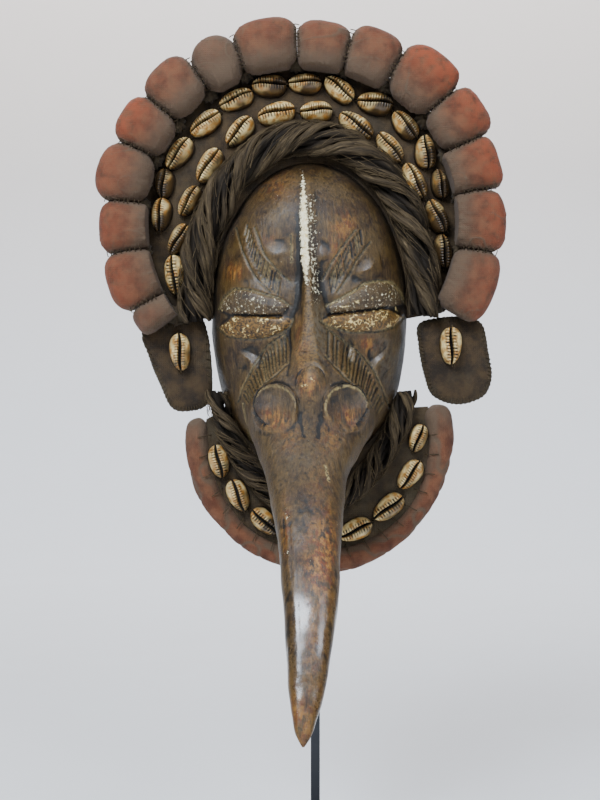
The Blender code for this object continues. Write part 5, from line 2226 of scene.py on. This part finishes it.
@dataclass(frozen=True)
class EarFlap:
    """A stuffed flap with an overcast edge."""

    name: str
    node: str
    corners: tuple[tuple[float, float], ...]
    seed: int

    def shape(self) -> SoftShape:
        """Shape rings of the outline into a crowned front and a flatter back, sewn down at the edge.

        The front rises as a cosine from the edge to the middle and the back falls as a sine.

        Returns:
            The shape before stuffing.
        """
        count, rings_front, rings_back = 92, 20, 7
        outline = closed_curve(np.array(self.corners), count)
        centre = outline.mean(axis=0)
        front, back = (
            np.linspace(0.0, 0.5, rings_front) * math.pi, np.linspace(0.06, 0.5, rings_back) * math.pi
        )
        share = np.concatenate([np.sin(front), np.cos(back)])[:, None]
        forward = np.concatenate([0.42 + 0.50 * np.cos(front) ** 0.8, 0.42 * (1.0 - np.sin(back))])[:, None]
        flat = centre + share[..., None] * (outline - centre)
        y = RIM_Y - FLAP_FORWARD - forward * FLAP_THICKNESS + 0.0 * flat[..., 0]
        points = np.stack([flat[..., 0], y, flat[..., 1]], -1).reshape(-1, 3)
        held = np.repeat(smooth_step((share[:, 0] - 0.88) / 0.10), count)
        held[points[:, 1] > RIM_Y - FLAP_FORWARD - 0.3 * FLAP_THICKNESS] = 1.0
        return SoftShape(points, grid_faces(len(share), count, True), held)

    def build(self, shape: SoftShape, finish: bpy.types.Material) -> None:
        """Finish a stuffed flap: a finer mesh, soft dents, a scalloped edge, and soil that darkens towards
        the edge.

        Args:
            shape: the stuffed shape.
            finish: the cloth.
        """
        mesh = modified(new_mesh(self.name, shape.points, shape.faces), "SUBSURF", levels=1, render_levels=1)
        face_out(mesh)
        points, facing = coordinates(mesh), normals(mesh)
        edge = inside_distance(points[:, [0, 2]], closed_curve(np.array(self.corners), 90))
        rim = np.exp(-np.maximum(edge, 0.0) / (2.2 * MM))
        turn = np.arctan2(points[:, 2] - points[:, 2].mean(), points[:, 0] - points[:, 0].mean())
        shift = fractal(points, 0.013, 3, self.seed) * 0.7 + rim * 0.22 * np.cos(turn * 62) - 0.1
        set_coordinates(mesh, points + facing * (shift * MM)[:, None])
        set_attribute(mesh, "tint", np.zeros(len(points)))
        # Soil, darker towards the flap's edge.
        set_attribute(mesh, "soil_and_shade", 0.25 + 0.5 * rim + 0.35 * fractal(points, 0.009, 3, self.seed + 5))
        add_piece(self.name, mesh, finish, Slot.DARK_CLOTH, self.node)

    def stitches(self) -> list[tuple[np.ndarray, np.ndarray, np.ndarray]]:
        """Place overcast stitches round the flap's edge, each leaning a little along it.

        Returns:
            Start, control point and end of each stitch.
        """
        outline = closed_curve(np.array(self.corners), 62)
        centre = outline.mean(axis=0)
        arcs = []
        for here, after in zip(outline, np.roll(outline, -1, axis=0)):
            outward = (here - centre) / np.linalg.norm(here - centre)
            lean = 0.3 * (after - here)
            spots = (
                (here - 3.4 * MM * outward, RIM_Y - FLAP_FORWARD - 0.74 * FLAP_THICKNESS),
                (here + 2.6 * MM * outward + lean, RIM_Y - FLAP_FORWARD - 0.55 * FLAP_THICKNESS),
                (here - 2.6 * MM * outward + 2 * lean, RIM_Y - FLAP_FORWARD + 0.2 * MM),
            )
            arcs.append(tuple(np.array([flat[0], y, flat[1]]) for flat, y in spots))
        return arcs


LEFT_FLAP = (
    (-0.1130, 0.3450), (-0.0960, 0.3505), (-0.0770, 0.3560), (-0.0695, 0.3400), (-0.0672, 0.3070),
    (-0.0715, 0.2960), (-0.0820, 0.2925), (-0.0940, 0.2950), (-0.1020, 0.3110), (-0.1085, 0.3270),
)
RIGHT_FLAP = (
    (0.0675, 0.3500), (0.0870, 0.3545), (0.1070, 0.3515), (0.1120, 0.3350), (0.1150, 0.3160),
    (0.1090, 0.3020), (0.0920, 0.2970), (0.0760, 0.3030), (0.0700, 0.3180), (0.0668, 0.3350),
)


def collar_point(degrees: np.ndarray, radius: np.ndarray) -> tuple[np.ndarray, np.ndarray]:
    """Turn degrees anticlockwise from the right and metres from the collar's middle into x and z."""
    angle = np.radians(degrees)
    return COLLAR_X + radius * np.cos(angle), COLLAR_Z + radius * np.sin(angle)


@dataclass(frozen=True)
class Collar:
    """The dark cloth under the jaw and the stuffed red roll, tied at shares of its length."""

    tied_at: tuple[float, ...] = (0.09, 0.16, 0.25, 0.33, 0.44, 0.52, 0.61, 0.69, 0.80, 0.88)

    def build_cloth(self, finish: bpy.types.Material) -> None:
        """Make the wrinkled crescent from the mask's rim out to the roll.

        Args:
            finish: the cloth.
        """
        steps, across = 200, 26
        t = np.linspace(0.0, 1.0, steps)
        at_rim = np.radians(COLLAR_RIM_ENDS[0] + t * (COLLAR_RIM_ENDS[1] - COLLAR_RIM_ENDS[0]))
        power = 2.0 / JAW_POWER
        inner_x = FACE_X + signed_power(np.cos(at_rim), power) * FACE_HALF_WIDTH * 0.99
        inner_z = FACE_Z + signed_power(np.sin(at_rim), power) * CHIN_DROP * 0.99
        outer_x, outer_z = collar_point(
            COLLAR_ENDS[0] + t * (COLLAR_ENDS[1] - COLLAR_ENDS[0]), COLLAR_RADIUS - ROLL_RADIUS + 2.5 * MM
        )
        s = np.linspace(0.0, 1.0, across)[None, :]
        x = inner_x[:, None] * (1 - s) + outer_x[:, None] * s
        z = inner_z[:, None] * (1 - s) + outer_z[:, None] * s
        y = np.full_like(x, RIM_Y - COLLAR_FORWARD)
        front = np.stack([x, y, z], -1)
        front[..., 1] -= fractal(front.reshape(-1, 3), 0.010, 4, 66).reshape(x.shape) * 0.8 * MM
        back = front[:, ::-1].copy()
        back[..., 1] = RIM_Y - COLLAR_FORWARD + COLLAR_THICKNESS
        rings = np.concatenate([front, back], axis=1)
        middle = np.repeat(rings.mean(axis=1)[[0, -1]][:, None], 2 * across, axis=1)
        points = np.concatenate([middle[0], rings.reshape(-1, 3), middle[1]])
        mesh = new_mesh("collar_cloth_sewn", points, grid_faces(steps + 2, 2 * across, True))
        face_out(mesh)
        set_attribute(mesh, "tint", np.zeros(len(points)))
        set_attribute(mesh, "soil_and_shade", 0.5 + 0.3 * fractal(points, 0.02, 3, 19))
        add_piece("collar_cloth_sewn", mesh, finish, Slot.DARK_CLOTH, "collar_cloth")

    def roll_shape(self) -> SoftShape:
        """Sweep the roll before stuffing, with round ends, sewn down along its back and at its ties.

        Returns:
            The shape.
        """
        steps, sides = 200, 18
        t = np.linspace(0.0, 1.0, steps)
        x, z = collar_point(COLLAR_ENDS[0] + t * (COLLAR_ENDS[1] - COLLAR_ENDS[0]), COLLAR_RADIUS)
        route = np.stack([x, np.full(steps, RIM_Y - ROLL_FORWARD), z], 1)
        ends = np.sqrt(np.clip(1.0 - (1.0 - np.minimum(t, 1 - t) / 0.030).clip(0) ** 2, 0.05, 1.0))
        plump = 0.94 + 0.08 * np.sin(2 * math.pi * 2.3 * t) + 0.20 * smooth_step((t - 0.82) / 0.1)
        points, faces = tube(route, ROLL_RADIUS * ends * plump, sides)
        far = np.repeat(np.concatenate([[0.0], t, [1.0]]), sides)
        nearest = np.abs(far[:, None] - np.array(self.tied_at)).min(axis=1)
        held = np.maximum(
            smooth_step((points[:, 1] - RIM_Y + ROLL_FORWARD) / (5 * MM)), 0.9 * (nearest < 0.003)
        )
        return SoftShape(points, faces, held)

    def build_roll(self, shape: SoftShape, finish: bpy.types.Material) -> None:
        """Finish the stuffed roll: a finer mesh, drawn-in creases across it, tint, and soil with painted
        shade.

        Creases are ridged noise that runs quickly along the roll and slowly round it.

        Args:
            shape: the stuffed shape.
            finish: the cotton.
        """
        mesh = modified(new_mesh("roll", shape.points, shape.faces), "SUBSURF", levels=1, render_levels=1)
        face_out(mesh)
        points, facing = coordinates(mesh), normals(mesh)
        dx, dz = points[:, 0] - COLLAR_X, points[:, 2] - COLLAR_Z
        radius = np.hypot(dx, dz)
        turn = np.degrees(np.arctan2(dz, dx))
        turn = np.where(turn < 90.0, turn + 360.0, turn)
        far = np.clip((turn - COLLAR_ENDS[0]) / (COLLAR_ENDS[1] - COLLAR_ENDS[0]), 0.0, 1.0)
        rings = np.stack([turn / 8.5, points[:, 1] / (12 * MM), radius / (12 * MM)], 1)
        cross = smooth_step((0.80 - np.abs(noise(rings, 1.0, 78)) * 2.4) / 0.8) ** 2
        shift = fractal(points, 0.012, 3, 77) * 0.9 - 0.5 * cross + 0.1
        set_coordinates(mesh, points + facing * (shift * MM)[:, None])
        # Soil and painted shade: darker on the inner side, at the ends and in the creases.
        inner = smooth_step((COLLAR_RADIUS - radius) / (5 * MM))
        ends = 1 - smooth_step(np.minimum(far, 1 - far) * 9)
        set_attribute(mesh, "tint", 0.14 * (1 - ends))
        set_attribute(mesh, "soil_and_shade", np.clip(0.25 + 0.45 * inner + 0.45 * ends + 0.55 * cross, 0, 1.2))
        add_piece("collar_roll_cotton", mesh, finish, Slot.RED_CLOTH, "collar_roll")

    def ties(self) -> list[tuple[np.ndarray, np.ndarray, np.ndarray]]:
        """Place the stitches that bind the roll to the cloth inside it.

        Returns:
            Start, control point and end of each stitch.
        """
        arcs = []
        for degrees in np.arange(COLLAR_ENDS[0] + 8, COLLAR_ENDS[1] - 6, 9.7):
            spots = []
            for out, forward, on in ((-1.25, 0.0022, 0.0), (-0.95, 0.0075, 0.6), (-0.15, 0.0085, 1.2)):
                x, z = collar_point(degrees + on, COLLAR_RADIUS + out * ROLL_RADIUS)
                spots.append(np.array([x, RIM_Y - ROLL_FORWARD - forward, z]))
            arcs.append(tuple(spots))
        return arcs


# Surroundings


@dataclass(frozen=True)
class Studio:
    """A pale floor and wall under soft lights."""

    wall_y: float = 2.3
    half_width: float = 9.0
    height: float = 3.2
    bend: float = 0.8
    front_y: float = -4.0
    room: str = "e6ecf2"
    room_strength: float = 0.30

    def build(self, floor_finish: bpy.types.Material) -> None:
        """Make one sheet that runs along the floor, curves up and becomes the wall, and the lights.

        Args:
            floor_finish: the sheet's paint.
        """
        turn = np.linspace(0.0, math.pi / 2, 24)
        start = self.wall_y - self.bend
        curve = [(start + self.bend * math.sin(a), self.bend - self.bend * math.cos(a)) for a in turn]
        profile = [(self.front_y, 0.0), *curve, (self.wall_y, self.height)]
        rows = np.array([[(x, y, z) for x in (-self.half_width, self.half_width)] for y, z in profile])
        mesh = new_mesh("backdrop", rows.reshape(-1, 3), grid_faces(len(profile), 2, False))
        mesh.materials.append(floor_finish)
        sheet = bpy.data.objects.new("backdrop", mesh)
        bpy.context.scene.collection.objects.link(sheet)
        for name, place, size, power, colour in (
            ("window_left", KEY_LIGHT, (0.5, 0.6), 24.0, "eaf3ff"),
            ("window_right", FILL_LIGHT, (0.4, 0.5), 7.5, "e6f0ff"),
            ("ceiling", (0.0, -0.1, 1.9), (1.6, 1.2), 8.0, "fff4ea"),
            ("wall_wash", (0.0, 1.5, 2.4), (3.4, 0.4), 84.0, "f8f9ff"),
        ):
            data = bpy.data.lights.new(name, "AREA")
            data.shape = "RECTANGLE"
            data.size, data.size_y = size
            data.energy = power
            data.color = linear(colour)[:3]
            lamp = bpy.data.objects.new(name, data)
            lamp.location = place
            aim = np.array([0.0, self.wall_y, 0.7] if name == "wall_wash" else [0.0, 0.0, 0.36]) - place
            tilt = math.atan2(math.hypot(aim[0], aim[1]), -aim[2])
            lamp.rotation_euler = (tilt, 0.0, math.atan2(aim[1], aim[0]) - math.pi / 2)
            bpy.context.scene.collection.objects.link(lamp)
        world = bpy.data.worlds.new("room")
        world.use_nodes = True
        background = world.node_tree.nodes["Background"]
        background.inputs["Color"].default_value = linear(self.room)
        background.inputs["Strength"].default_value = self.room_strength
        bpy.context.scene.world = world


@dataclass(frozen=True)
class Stand:
    """The steel stand, whose plain bars and plate come from the CAD model as they are."""

    parts: tuple[str, ...] = ("foot_plate", "upright_and_hook", "cross_bar")

    def dress(self, nodes: dict[str, bpy.types.Object], finish: bpy.types.Material) -> None:
        """Give the stand's pieces their paint.

        Args:
            nodes: the CAD nodes by name.
            finish: the painted steel.
        """
        for name in self.parts:
            for slot in nodes[name].material_slots:
                slot.material = finish
            log.info("%s painted", name)


def main() -> None:
    """Build every piece in order."""
    logging.basicConfig(level=logging.INFO)
    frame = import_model()
    VIEW.build()
    wood = CarvedWood().build()
    red = StuffedCotton("cotton_red_stuffed", "46291a", "6b4730", "8b4226", "574636").build()
    dark = StuffedCotton("cotton_dark_oiled", "231a11", "44341f", "5f4a2c", "4a4130").build()
    fibre = TwistedFibre().build()
    shell = CowrieShell().build()
    steel = PaintedSteel().build()
    CarvedFace().build(frame["nodes"]["mask"], wood)
    headdress, collar = Headdress(), Collar()
    flaps = (EarFlap("ear_flap_left_stuffed", "ear_flap_left", LEFT_FLAP, 31),
             EarFlap("ear_flap_right_stuffed", "ear_flap_right", RIGHT_FLAP, 32))
    shapes = [headdress.shape(number) for number in range(len(PADS))]
    shapes += [flap.shape() for flap in flaps] + [collar.roll_shape()]
    Stuffing().fill(shapes)
    headdress.build_band(dark)
    for number in range(len(PADS)):
        headdress.build_pad(number, shapes[number], red)
    headdress.build_gathers(dark)
    Sewing("headdress_seam_thread").build(headdress.seam_stitches(), fibre, 0.1)
    Rope("brow_rope_twisted", "brow_rope", 0.0112, 3, 8, 2.7, 4.0, 520, 11).build(brow_route(), fibre)
    Rope("chin_fibre_plaited", "chin_fibre", 0.0080, 3, 7, 3.0, 4.0, 300, 12).build(chin_route(), fibre)
    threads = []
    for cowrie in all_cowries():
        cowrie.build(shell)
        threads += cowrie.threads()
    Sewing("cowrie_thread", 0.28 * MM).build(threads, fibre, 0.6)
    for flap, shape in zip(flaps, shapes[len(PADS):]):
        flap.build(shape, dark)
        Sewing(flap.node + "_overcast").build(flap.stitches(), fibre, 0.15)
    collar.build_cloth(dark)
    collar.build_roll(shapes[-1], red)
    Sewing("collar_roll_binding").build(collar.ties(), fibre, 0.2)
    Stand().dress(frame["nodes"], steel)
    Studio().build(MattePaint("wall_paint_pale", "e9edf1", "f6ede4").build())


if __name__ == "__main__":
    main()
